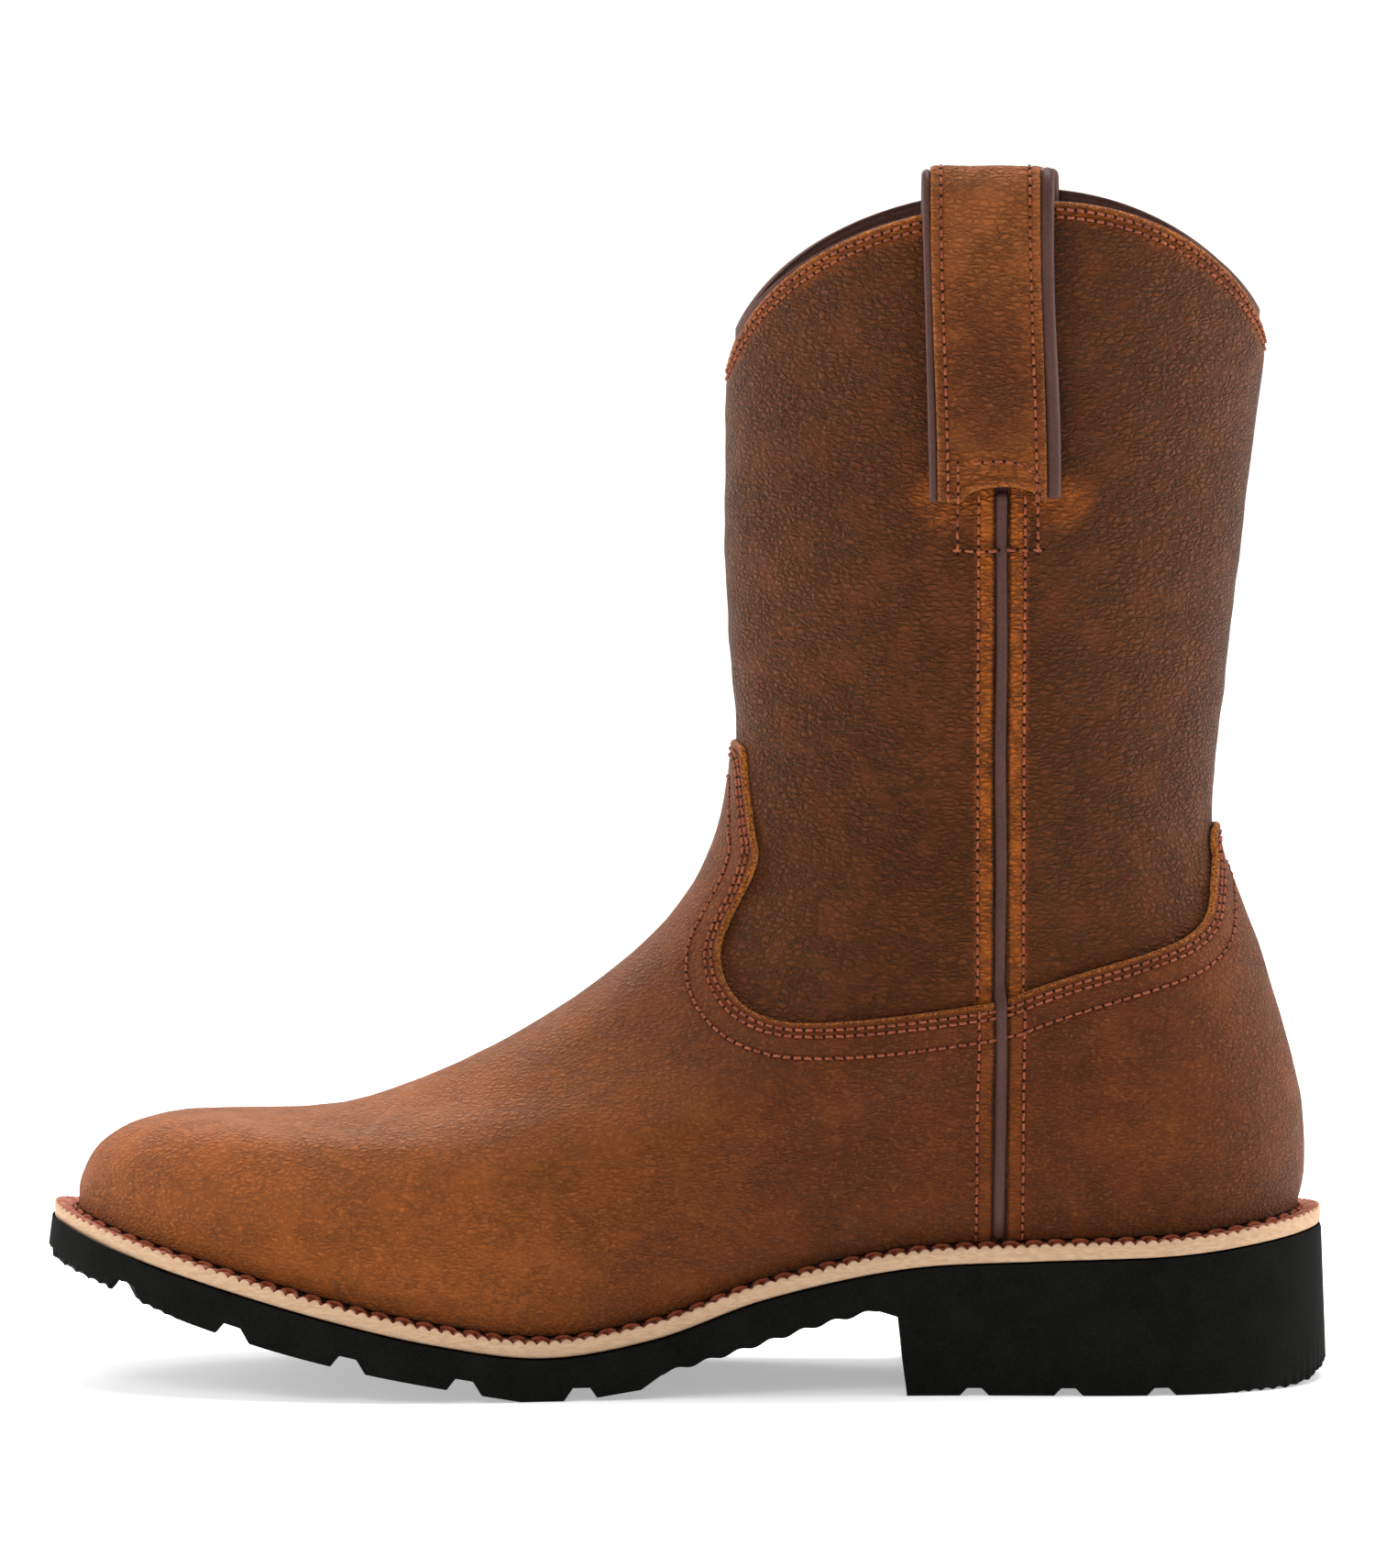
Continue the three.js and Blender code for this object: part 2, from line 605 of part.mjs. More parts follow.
function strapCord({ sign, strapX, rise }, end) {
  const x = strapX + end * (STRAP_WIDTH / 2 + STRAP_CORD_RADIUS + GAP);
  const points = strapLine(rise, STRAP_CORD_RADIUS).map(([y, z]) => new THREE.Vector3(x, -sign * y, z));
  return tube(new THREE.CatmullRomCurve3(points), STRAP_CORD_RADIUS, 8, CORD_STEPS);
}

// ---------- materials ----------
const finish = (color, roughness, metalness = 0) => new THREE.MeshStandardMaterial({ color, roughness, metalness });
const footLeather = finish(0x8a4f28, 0.6);
const shaftLeather = finish(0x6a3c22, 0.6);
const trim = finish(0x5f4745, 0.5);
const textile = finish(0xb59a78, 0.9);
const board = finish(0xa98c66, 0.9);
const foam = finish(0x3b3b3d, 0.9);
const natural = finish(0xe0b98f, 0.7);
const rubber = finish(0x151515, 0.8);
const cork = finish(0x9c6b3f, 0.95);
const steel = finish(0x9aa0a6, 0.4, 0.9);
const plastic = finish(0xd8d2c4, 0.6);

// ---------- assembly ----------
const boot = new THREE.Group();
function add(name, made, material) {
  const mesh = new THREE.Mesh(geometryOf(made), material);
  mesh.name = name;
  boot.add(mesh);
}

const cover = layer(GAP, GAP + LEATHER); // vamp and counter lie over the shaft leather
const middle = layer(-LEATHER, 0);
const inside = layer(-LEATHER - GAP - LINING, -LEATHER - GAP);
const collared = sideCut(underCollar);
const box = (x0, x1, z0, z1) => sideCut([[x0, z0], [x1, z0], [x1, z1], [x0, z1]]);

add("outsole", outsole(), rubber);
add("welt", welt(), natural);
add("insole_board", insoleBoard(), board);
add("insole_rib", insoleRib(), board);
add("cork_filler", corkFiller(), cork);
add("heel_filler", heelFiller(), cork);
add("steel_shank", shank(), steel);
add("footbed", footbed(), foam);
add("footbed_cover", footbedCover(), textile);

const capRear = -halfLength + CAP_DEPTH;
add("vamp", cover.intersect(sideCut(lowerFront(vampEdge, seamFront))), footLeather);
add("counter", cover.intersect(sideCut(counterOutline)), footLeather);
add("steel_toe_cap", middle.intersect(box(-FAR, capRear, -FAR, FAR)), steel);
add("toe_cap_edging", middle.intersect(box(capRear + GAP, capRear + GAP + CAP_EDGE_WIDTH, -FAR, ANKLE_HEIGHT)), rubber);
const frontHem = [[seamFront, SHAFT_FRONT_HEM[0][1]], ...smooth(SHAFT_FRONT_HEM, EDGE_STEPS), [-FAR, 150]];
const doublerStart = capRear + 2 * GAP + CAP_EDGE_WIDTH;
add(
  "vamp_doubler",
  middle
    .intersect(sideCut([...drop(frontHem, GAP), [-FAR, -FAR], [seamFront, -FAR]]))
    .intersect(box(doublerStart, FAR, -FAR, FAR)),
  textile,
);
const stiffenerTop = featherHeight(seamX) + STIFFENER_HEIGHT;
const backHem = [[seamBack, SHAFT_BACK_HEM[0][1]], ...SHAFT_BACK_HEM, [FAR, SHAFT_BACK_HEM.at(-1)[1]]];
add(
  "heel_stiffener",
  middle.intersect(sideCut([...drop(backHem, GAP), [FAR, -FAR], [seamBack, -FAR]])).intersect(box(seamBack + 6, FAR, -FAR, stiffenerTop + 20)),
  plastic,
);
const shaft = middle.intersect(collared);
add("shaft_front", shaft.intersect(sideCut([...frontHem, [-FAR, FAR], [seamFront, FAR]])), shaftLeather);
add("shaft_back", shaft.intersect(sideCut([...backHem, [FAR, FAR], [seamBack, FAR]])), shaftLeather);

const lined = inside.intersect(collared);
const half = GAP / 2;
add("vamp_lining", lined.intersect(box(-FAR, seamX - half, -FAR, LINING_SPLIT_FRONT - half)), textile);
add("heel_lining", lined.intersect(box(seamX + half, FAR, -FAR, LINING_SPLIT_BACK - half)), textile);
add("shaft_lining_front", lined.intersect(box(-FAR, seamX - half, LINING_SPLIT_FRONT + half, FAR)), trim);
add("shaft_lining_back", lined.intersect(box(seamX + half, FAR, LINING_SPLIT_BACK + half, FAR)), trim);

const backing = [0, STRAP_BACKING];
const leather = [STRAP_BACKING + GAP / 2, STRAP_BACKING + GAP / 2 + STRAP_LEATHER];
for (const [name, side] of Object.entries(SIDES)) {
  add(`side_piping_${name}`, sidePiping(side.sign), trim);
  add(`pull_strap_backing_${name}`, strapBand(side, ...backing), trim);
  add(`pull_strap_${name}`, strapBand(side, ...leather), footLeather);
  add(`strap_cord_front_${name}`, strapCord(side, -1), trim);
  add(`strap_cord_back_${name}`, strapCord(side, 1), trim);
}

export default boot;
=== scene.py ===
# %% [markdown]
# # A pull-on work boot
#
# This file builds the looks of a leather work boot around a finished mechanical model. The model gives the
# size, the place and the joints of every piece. Here each visible piece is made again with a fine surface,
# because leather, stitching and a wheeled welt need far more detail than a mechanical model holds.
#
# All sizes below are in millimetres, and one function turns them into Blender's metres at the end.

# %% Load the frame
import math

import bmesh
import bpy
import numpy as np
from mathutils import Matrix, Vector, kdtree


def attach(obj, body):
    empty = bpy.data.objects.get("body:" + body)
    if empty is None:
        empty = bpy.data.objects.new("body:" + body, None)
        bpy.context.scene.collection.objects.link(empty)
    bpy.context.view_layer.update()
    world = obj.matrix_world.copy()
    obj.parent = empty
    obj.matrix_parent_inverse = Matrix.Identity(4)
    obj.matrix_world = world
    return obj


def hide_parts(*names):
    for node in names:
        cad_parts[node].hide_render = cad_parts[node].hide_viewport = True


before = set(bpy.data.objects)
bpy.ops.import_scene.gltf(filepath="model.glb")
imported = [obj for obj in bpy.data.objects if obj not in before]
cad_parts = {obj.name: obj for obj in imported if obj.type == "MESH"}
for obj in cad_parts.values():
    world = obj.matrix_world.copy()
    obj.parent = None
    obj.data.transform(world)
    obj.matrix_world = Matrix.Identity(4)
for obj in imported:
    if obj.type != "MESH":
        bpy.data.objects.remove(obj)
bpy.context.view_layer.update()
MM = 0.001
BODY = "boot"
scene = bpy.context.scene

# %% [markdown]
# ## Camera, floor and light
#
# A long lens from nearly level height flattens the boot the way a catalogue picture does. The floor is a
# plain pale sheet that runs far behind the boot, so it fills the whole view. It also glows with painted light
# of its own, half as bright near the boot as far away, which washes out the shadows on it. Leather looks
# right when it reflects large soft sources: two broad lights from above, and a weaker one from each side to
# draw the light rims along its turning edges. A small one beyond the toe does the same for the top of the toe.

# %% Camera
CAMERA_DISTANCE = 2.9
CAMERA_HEIGHT = 0.386
AIM_HEIGHT = 0.145
LENS = 274.1

camera = bpy.data.objects.new("camera", bpy.data.cameras.new("camera"))
camera.location = (0, -CAMERA_DISTANCE, CAMERA_HEIGHT)
aim = Vector((0, 0, AIM_HEIGHT)) - camera.location
camera.rotation_euler = aim.to_track_quat("-Z", "Y").to_euler()
camera.data.lens = LENS
camera.data.sensor_width = 36
camera.data.clip_end = 200
scene.collection.objects.link(camera)
scene.camera = camera
scene.view_settings.view_transform = "Standard"


# %% Floor and lights
def area_light(name, place, target, size, power):
    light = bpy.data.objects.new(name, bpy.data.lights.new(name, "AREA"))
    light.data.shape = "RECTANGLE"
    light.data.size, light.data.size_y = size
    light.data.energy = power
    light.location = place
    light.rotation_euler = (Vector(target) - Vector(place)).to_track_quat("-Z", "Y").to_euler()
    scene.collection.objects.link(light)


area_light("key_light", (-0.5, -1.3, 1.5), (0, 0, 0.12), (1.0, 0.8), 8)
area_light("top_light", (0.2, 0.3, 1.9), (0, 0, 0.1), (1.3, 1.1), 40)
area_light("left_rim", (-1.5, 0.35, 0.5), (0, 0, 0.15), (0.5, 1.0), 13)
area_light("right_rim", (1.5, 0.35, 0.5), (0.05, 0, 0.15), (0.5, 1.0), 13)
area_light("toe_light", (-0.2, 0.65, 0.55), (-0.11, 0, 0.06), (0.5, 0.3), 2.6)

BACKDROP_LIGHT = 1.12
ROOM_LIGHT = 0.34
world = bpy.data.worlds.new("studio")
world.use_nodes = True
backdrop = world.node_tree.nodes["Background"]
backdrop.inputs["Color"].default_value = (1, 1, 1, 1)
seen = world.node_tree.nodes.new("ShaderNodeLightPath")
strength = world.node_tree.nodes.new("ShaderNodeMapRange")
strength.inputs["To Min"].default_value = ROOM_LIGHT
strength.inputs["To Max"].default_value = BACKDROP_LIGHT
world.node_tree.links.new(seen.outputs["Is Camera Ray"], strength.inputs["Value"])
world.node_tree.links.new(strength.outputs["Result"], backdrop.inputs["Strength"])
scene.world = world

FLOOR_REACH = 40
floor_mesh = bpy.data.meshes.new("floor")
corners = [(-FLOOR_REACH, -FLOOR_REACH, 0), (FLOOR_REACH, -FLOOR_REACH, 0)]
corners += [(FLOOR_REACH, FLOOR_REACH, 0), (-FLOOR_REACH, FLOOR_REACH, 0)]
floor_mesh.from_pydata(corners, [], [(0, 1, 2, 3)])
floor = bpy.data.objects.new("floor", floor_mesh)
scene.collection.objects.link(floor)


# %% [markdown]
# ## Writing shaders as sums
#
# A shader is arithmetic on sockets. A small class wraps a socket and overloads the operators, so that a
# pattern reads as a formula. One more method makes any other node from its type, settings and inputs.

# %% The socket wrapper
class Signal:
    """A socket's value; arithmetic on it adds Math nodes."""

    def __init__(self, tree, socket):
        self.tree, self.socket = tree, socket

    def _math(self, operation, *values):
        node = self.tree.nodes.new("ShaderNodeMath")
        node.operation = operation
        for slot, value in zip(node.inputs, values):
            plug(self.tree, slot, value)
        return Signal(self.tree, node.outputs[0])

    def __add__(self, other):
        return self._math("ADD", self, other)

    def __sub__(self, other):
        return self._math("SUBTRACT", self, other)

    def __rsub__(self, other):
        return self._math("SUBTRACT", other, self)

    def __mul__(self, other):
        return self._math("MULTIPLY", self, other)

    def __truediv__(self, other):
        return self._math("DIVIDE", self, other)

    __radd__, __rmul__ = __add__, __mul__

    def fract(self):
        return self._math("FRACT", self)

    def most(self, other):
        return self._math("MAXIMUM", self, other)

    def size(self):
        return self._math("ABSOLUTE", self)

    def step(self, low, high):
        """0 below low, 1 above high, smooth between; low may be the larger."""
        node = self.tree.nodes.new("ShaderNodeMapRange")
        node.interpolation_type = "SMOOTHSTEP"
        if low > high:
            low, high, ends = high, low, (1, 0)
        else:
            ends = (0, 1)
        for slot, value in zip(node.inputs, (self, low, high, *ends)):
            plug(self.tree, slot, value)
        return Signal(self.tree, node.outputs[0])


def plug(tree, slot, value):
    if isinstance(value, Signal):
        tree.links.new(value.socket, slot)
    elif isinstance(value, tuple) and slot.type == "RGBA":
        slot.default_value = (*value, 1)
    else:
        slot.default_value = value


def make_node(tree, kind, settings, values, output=0):
    """One node of a kind: its settings first, then its inputs by name or place. Returns its output."""
    node = tree.nodes.new(kind)
    for name, value in settings.items():
        if name == "stops":
            while len(node.color_ramp.elements) < len(value):
                node.color_ramp.elements.new(0.5)
            for element, (place, colour) in zip(node.color_ramp.elements, value):
                element.position, element.color = place, (*colour, 1)
        else:
            setattr(node, name, value)
    for name, value in values.items():
        plug(tree, node.inputs[name], value)
    return Signal(tree, node.outputs[output])


class Finish:
    """A material being written: patterns read the object's own coordinates, in millimetres."""

    def __init__(self, name, rough, specular=0.5, **constants):
        self.material = bpy.data.materials.new(name)
        self.material.use_nodes = True
        self.tree = self.material.node_tree
        self.shader = self.tree.nodes["Principled BSDF"]
        self.shader.inputs["Roughness"].default_value = rough
        self.shader.inputs["Specular IOR Level"].default_value = specular
        for name, value in constants.items():
            self.shader.inputs[name.replace("_", " ")].default_value = value
        place = self.node("ShaderNodeTexCoord", {}, {}, "Object")
        self.place = self.node("ShaderNodeVectorMath", {"operation": "SCALE"}, {0: place, "Scale": 1 / MM})
        self.x, self.y, self.z = (
            self.node("ShaderNodeSeparateXYZ", {}, {0: self.place}, axis) for axis in ("X", "Y", "Z")
        )

    def node(self, kind, settings, values, output=0):
        return make_node(self.tree, kind, settings, values, output)

    def stretched(self, x, y, z):
        return self.node("ShaderNodeMapping", {}, {"Vector": self.place, "Scale": (x, y, z)})

    def noise(self, grain, detail=2, rough=0.5, place=None):
        """Noise of about the given grain, centred on 0.5."""
        values = {"Vector": place or self.place, "Scale": 1 / grain, "Detail": detail, "Roughness": rough}
        return self.node("ShaderNodeTexNoise", {"normalize": True}, values)

    def cells(self, grain, feature="F1", place=None):
        """Distance from the middle of the nearest cell, or from its edge."""
        values = {"Vector": place or self.place, "Scale": 1 / grain}
        return self.node("ShaderNodeTexVoronoi", {"feature": feature}, values)

    def mix(self, share, low, high):
        return self.node("ShaderNodeMix", {"data_type": "RGBA"}, {0: share, 6: low, 7: high}, 2)

    def mask(self, name):
        return self.node("ShaderNodeAttribute", {"attribute_name": name}, {}, "Fac")

    def finish(self, colour, height=None, depth=0.3, rough=None):
        """depth is how many millimetres the height signal stands for."""
        plug(self.tree, self.shader.inputs["Base Color"], colour)
        if height is not None:
            values = {"Height": height, "Distance": depth * MM, "Strength": 1.0}
            bump = self.node("ShaderNodeBump", {}, values)
            plug(self.tree, self.shader.inputs["Normal"], bump)
        if rough is not None:
            plug(self.tree, self.shader.inputs["Roughness"], rough)
        return self.material


# %% Floor finish
# Painted light: the floor glows by itself, half as bright near the boot as far away, which washes out the shadows on
# it.
pale = Finish("pale_floor", 0.9, 0.1, Emission_Strength=0.8)
away = (pale.x * pale.x + pale.y * pale.y).step(200000, 5000000)
plug(pale.tree, pale.shader.inputs["Emission Color"], pale.mix(away, (0.5, 0.5, 0.5), (1, 1, 1)))
pale.finish(pale.mix(pale.noise(400), (0.93, 0.93, 0.93), (0.95, 0.95, 0.95)))
floor_mesh.materials.append(pale.material)

# %% [markdown]
# ## The last
#
# A shoemaker pulls every layer of the upper over one solid foot, the last. The same idea keeps this model
# together: one formula gives a point on the last for an angle round it and a height along it, and each piece
# of leather is a sheet of that surface, moved outwards by its own distance. The surface is a stack of rings.
# Each ring runs from the heel line to the toe line, and its fullness at five places between them sets how
# wide it is there.

# %% Curves
WELT_THICKNESS = 4.2
GAP = 0.4
SEAT_GAP = 0.6
LEATHER = 1.8
LINING = 1.0
COLLAR_HEIGHT = 288.4
ANKLE_HEIGHT = 130.0
SEAM_X = 75.4


def spline_weights(count, t):
    at = np.clip(t, 0, 1) * (count - 1)
    i = np.minimum(np.floor(at).astype(int), count - 2)
    f = at - i
    weights = [
        0.5 * (-f + 2 * f**2 - f**3),
        1 - 2.5 * f**2 + 1.5 * f**3,
        0.5 * f + 2 * f**2 - 1.5 * f**3,
        0.5 * (-(f**2) + f**3),
    ]
    return i, weights


def with_ends(values, axis=0):
    """Adds a point past each end, on the straight line through the last two."""
    values = np.moveaxis(np.asarray(values, float), axis, 0)
    ends = [2 * values[:1] - values[1:2], values, 2 * values[-1:] - values[-2:-1]]
    return np.moveaxis(np.concatenate(ends), 0, axis)


def through(values, t):
    """A smooth curve through values at equal steps of t, from 0 to 1."""
    i, weights = spline_weights(len(values), t)
    padded = with_ends(values)
    shape = (slice(None),) * np.ndim(t) + (None,) * (padded.ndim - 1)
    return sum(w[shape] * padded[i + k] for k, w in enumerate(weights))


def smooth_line(points, steps):
    return through(np.array(points, float), np.linspace(0, 1, steps))


SOLE_TOP = smooth_line(
    [
        (-158, 40),
        (-141, 34.4),
        (-113.5, 26.5),
        (-86.7, 19.2),
        (-60.2, 13.2),
        (-34, 9.9),
        (-7.5, 14),
        (19, 23.2),
        (52, 30.1),
        (85, 32),
        (118, 33.2),
        (140, 35.6),
        (158, 38.2),
    ],
    240,
)


def sole_top(x):
    return np.interp(x, SOLE_TOP[:, 0], SOLE_TOP[:, 1])


def feather(x):
    return sole_top(x) + GAP + WELT_THICKNESS + SEAT_GAP


# %% The rings of the last: toe line x and z, heel line x and z, how far it sags to the sole, fullness
FOOT = [
    (-146.6, 43.7, 146.6, 42.1, 1, (60, 34.5, 35.5, 51, 62), (60, 33, 29, 51, 62)),
    (-145.8, 49.8, 148.6, 52, 0.86, (64, 38.5, 39.5, 54, 64), (64, 37.5, 34, 54.5, 64)),
    (-141, 57.4, 148, 64, 0.66, (64, 40, 42.5, 53, 58), (64, 39.5, 38, 53.5, 58)),
    (-128.5, 62, 145.8, 76, 0.44, (63, 40.5, 44, 49.5, 49), (63, 40, 41, 49.5, 49)),
    (-104, 62.4, 143.2, 86, 0.24, (60, 40.5, 44.5, 45, 40), (60, 40.5, 43, 44.5, 40)),
    (-78.2, 66.2, 140.3, 95, 0.1, (56, 41, 43, 40.5, 35), None),
    (-50.4, 77.1, 136.9, 106, 0.03, (51, 40.5, 41, 37, 32), None),
    (-25.4, 91.8, 132.5, 118, 0, (45, 39.5, 39.5, 35.5, 31), None),
    (-3.8, 109.9, 128.4, 130, 0, (41, 38.5, 38.5, 35.5, 31.5), None),
    (8.1, 129.7, 128.3, 142, 0, (38, 38, 38.5, 36.5, 34), None),
]
SHAFT = [
    (12.3, 0.162, 129.4, 0.182, (38, 38.5, 39.5, 38, 36.5)),
    (9.8, 0.325, 132.2, 0.331, (40, 41, 42, 40.5, 39)),
    (9.3, 0.487, 135.3, 0.5, (42, 43.5, 44.5, 43, 41)),
    (9.4, 0.675, 138.9, 0.675, (43.5, 45.5, 46.5, 45, 42.5)),
    (9.4, 0.86, 141.8, 0.86, (44.5, 47, 48, 46.5, 43.5)),
    (9, 1.05, 144, 1.05, (45, 47.5, 48.5, 47, 44)),
]


def shaft_height(share):
    return ANKLE_HEIGHT + share * (COLLAR_HEIGHT - ANKLE_HEIGHT)


rings = [(*r[:5], r[5], r[6] or r[5]) for r in FOOT]
rings += [(r[0], shaft_height(r[1]), r[2], shaft_height(r[3]), 0, r[4], r[4]) for r in SHAFT]
RING_LINES = np.array([r[:5] for r in rings], float)
FULLNESS = np.array([[r[5], r[6]] for r in rings], float)


def last_point(angle, v):
    """angle: 0 at the heel line, pi at the toe line, outer side first. v: 0 at the welt, 1 above the collar."""
    angle, v = np.broadcast_arrays(np.asarray(angle, float), np.asarray(v, float))
    share = (1 - np.cos(angle)) / 2
    toe_x, toe_z, heel_x, heel_z, sag = np.moveaxis(through(RING_LINES, v), -1, 0)
    widths = through(FULLNESS, v)
    side = np.where(np.sin(angle) >= 0, 0, 1)
    widths = np.take_along_axis(widths, side[..., None, None], axis=-2)[..., 0, :]
    i, weights = spline_weights(5, share)
    padded = with_ends(widths, axis=-1)
    full = sum(w * np.take_along_axis(padded, (i + k)[..., None], axis=-1)[..., 0] for k, w in enumerate(weights))
    x = heel_x + (toe_x - heel_x) * share
    toe0, toe0_z, heel0, heel0_z = RING_LINES[0, :4]
    dip = feather(heel0 + (toe0 - heel0) * share) - (heel0_z + (toe0_z - heel0_z) * share)
    z = heel_z + (toe_z - heel_z) * share + sag * dip
    return np.stack([x, -full * np.sin(angle), z], axis=-1)


def last_normal(angle, v):
    low = np.clip(v - 0.004, 0, 1)
    high = np.clip(v + 0.004, 0, 1)
    up = last_point(angle, high) - last_point(angle, low)
    along = last_point(angle + 0.01, v) - last_point(angle - 0.01, v)
    normal = np.cross(up, along)
    first = np.clip(v * (len(RING_LINES) - 1), 0, 1)
    normal[..., 2] *= first**2 * (3 - 2 * first)
    return normal / np.linalg.norm(normal, axis=-1, keepdims=True)


def layer_point(angle, v, offset):
    angle, v = np.broadcast_arrays(np.asarray(angle, float), np.asarray(v, float))
    on = last_point(angle, v)
    off = on + last_normal(angle, v) * np.asarray(offset, float)[..., None]
    sag = through(RING_LINES[:, 4], v)
    off[..., 2] += sag * (feather(off[..., 0]) - feather(on[..., 0]))
    return off


print("last length in mm:", np.ptp(last_point(np.linspace(0, 6.28, 90), 0.0)[:, 0]).round(1))


# %% [markdown]
# ## Pattern lines on the last
#
# The edges of the leather pieces are drawn from the side, as a pattern cutter would. To use them, each drawn
# point has to be found on the last: the angle and height whose point lies there. A coarse table gives the
# first guess and a few steps of Newton's method finish it.

# %% Finding a drawn point on the last
TABLE_ANGLES, TABLE_V = np.meshgrid(np.linspace(0.02, np.pi - 0.02, 160), np.linspace(0, 1, 260))


def find_on_last(points, offset, side=1):
    """Angle and v of drawn points (x, z), on the outer side (1) or the inner side (-1)."""
    points = np.asarray(points, float)
    table = layer_point(side * TABLE_ANGLES, TABLE_V, offset)[..., [0, 2]].reshape(-1, 2)
    near = [np.argmin(((table - p) ** 2).sum(1)) for p in points]
    at = np.stack([TABLE_ANGLES.ravel()[near], TABLE_V.ravel()[near]], axis=-1)
    h = 1e-4

    def miss(at):
        return layer_point(side * at[:, 0], at[:, 1], offset)[:, [0, 2]] - points

    for _ in range(8):
        here = miss(at)
        by_angle = (miss(at + (h, 0)) - here) / h
        by_v = (miss(at + (0, h)) - here) / h
        det = by_angle[:, 0] * by_v[:, 1] - by_angle[:, 1] * by_v[:, 0]
        det = np.where(np.abs(det) < 1, 1, det)
        da = (-here[:, 0] * by_v[:, 1] + here[:, 1] * by_v[:, 0]) / det
        dv = (-here[:, 1] * by_angle[:, 0] + here[:, 0] * by_angle[:, 1]) / det
        at[:, 0] = np.clip(at[:, 0] + np.clip(da, -0.1, 0.1), 0.001, np.pi - 0.001)
        at[:, 1] = np.clip(at[:, 1] + np.clip(dv, -0.03, 0.03), 0, 1)
    return at


def lengths_along(points):
    """How far each point of a line is from its first."""
    return np.concatenate([[0], np.cumsum(np.linalg.norm(np.diff(points, axis=0), axis=1))])


def read_at(at, far, line):
    """The columns of a line, read at lengths along it."""
    return np.stack([np.interp(at, far, column) for column in line.T], axis=-1)


def both_sides(points, offset, cap=None, front=True):
    """A drawn edge taken from the outer seam round the front or back to the inner seam."""
    outer = find_on_last(points, offset, 1)
    inner = find_on_last(points, offset, -1)
    turn = 2 * np.pi if front else 0
    inner[:, 0] = turn - inner[:, 0]
    middle = np.empty((0, 2)) if cap is None else cap
    return np.concatenate([outer, middle, inner[::-1]])


# %% The pattern lines
LAYER_TOP = GAP + LEATHER
SEAM_FRONT = SEAM_X - 1.7
SEAM_BACK = SEAM_X + 1.7
TONGUE_TOP = 155.6
TAB_TOP = 135.5
SEAM_EDGE = 95.1

vamp_drawn = smooth_line(
    [
        (SEAM_FRONT, SEAM_EDGE),
        (58, 93.1),
        (43, 91.6),
        (30, 90.8),
        (21, 91.3),
        (13.4, 94.4),
        (8.6, 100),
        (7.2, 107.2),
        (9.4, 114),
        (13.1, 121.3),
        (15.6, 127.1),
        (16.2, 130.4),
    ],
    110,
)
tongue_drawn = smooth_line([(16.2, 130.4), (15, 135.6), (14.2, 141.2), (13.3, 147.8), (12.9, 152.1)], 50)
counter_drawn = smooth_line(
    [
        (SEAM_BACK, SEAM_EDGE + 0.8),
        (85, 98.9),
        (95, 102),
        (104, 104.5),
        (113, 107.1),
        (120, 109.6),
        (124.9, 112.8),
        (127.4, 116.8),
        (128.3, 122.5),
        (129.1, 128.7),
    ],
    90,
)


def level_v(angle, height, offset=LAYER_TOP):
    """v where the surface reaches a height, at each angle."""
    low, high = np.zeros_like(angle), np.ones_like(angle)
    for _ in range(22):
        v = (low + high) / 2
        below = layer_point(angle, v, offset)[..., 2] < height
        low, high = np.where(below, v, low), np.where(below, high, v)
    return (low + high) / 2


def rounded_cap(side_line, centre, height, front):
    """Closes a tongue or tab at its top with round corners."""
    angle, v = find_on_last(side_line[-1:], LAYER_TOP, 1)[0]
    reach = abs(centre - angle)
    t = np.linspace(0, np.pi, 41)[1:-1]
    drift = reach * np.sign(np.cos(t)) * np.abs(np.cos(t)) ** 0.55
    rise = np.abs(np.sin(t)) ** 0.6
    if front:
        angles = centre - drift
    else:
        angles = centre + drift
    base = side_line[-1][1]
    heights = base + (height - base) * rise
    return np.stack([angles, level_v(angles, heights)], axis=-1)


vamp_edge = both_sides(
    np.concatenate([vamp_drawn[:-1], tongue_drawn]),
    LAYER_TOP,
    rounded_cap(tongue_drawn, np.pi, TONGUE_TOP, True),
)
counter_edge = both_sides(counter_drawn, LAYER_TOP, rounded_cap(counter_drawn, 0, TAB_TOP, False), front=False)
print("vamp edge points:", len(vamp_edge), "counter edge points:", len(counter_edge))

# %% Collar and hem lines
FRONT_DIP, BACK_DIP, COLLAR_PEAK_X = 51, 43.8, 86
toe_end, heel_end = RING_LINES[-2, 0] - 1, RING_LINES[-2, 2] + 0.5


def collar_height(x):
    front = np.clip((COLLAR_PEAK_X - x) / (COLLAR_PEAK_X - toe_end), 0, 1)
    back = np.clip((x - COLLAR_PEAK_X) / (heel_end - COLLAR_PEAK_X), 0, 1)
    return COLLAR_HEIGHT - np.where(
        x < COLLAR_PEAK_X,
        FRONT_DIP * (1 - (1 - front**2.15) ** (1 / 2.15)),
        BACK_DIP * (1 - (1 - back**1.95) ** (1 / 1.95)),
    )


def ring_line(angles, height_of, offset):
    """The line round the last whose height is a function of x."""
    low, high = np.zeros_like(angles), np.ones_like(angles)
    for _ in range(24):
        v = (low + high) / 2
        p = layer_point(angles, v, offset)
        below = p[:, 2] < height_of(p[:, 0])
        low, high = np.where(below, v, low), np.where(below, high, v)
    return np.stack([angles, (low + high) / 2], axis=-1)


def seam_angle(v, x):
    toe_x, _, heel_x, _, _ = np.moveaxis(through(RING_LINES, v), -1, 0)
    return np.arccos(np.clip(1 - 2 * (heel_x - x) / (heel_x - toe_x), -1, 1))


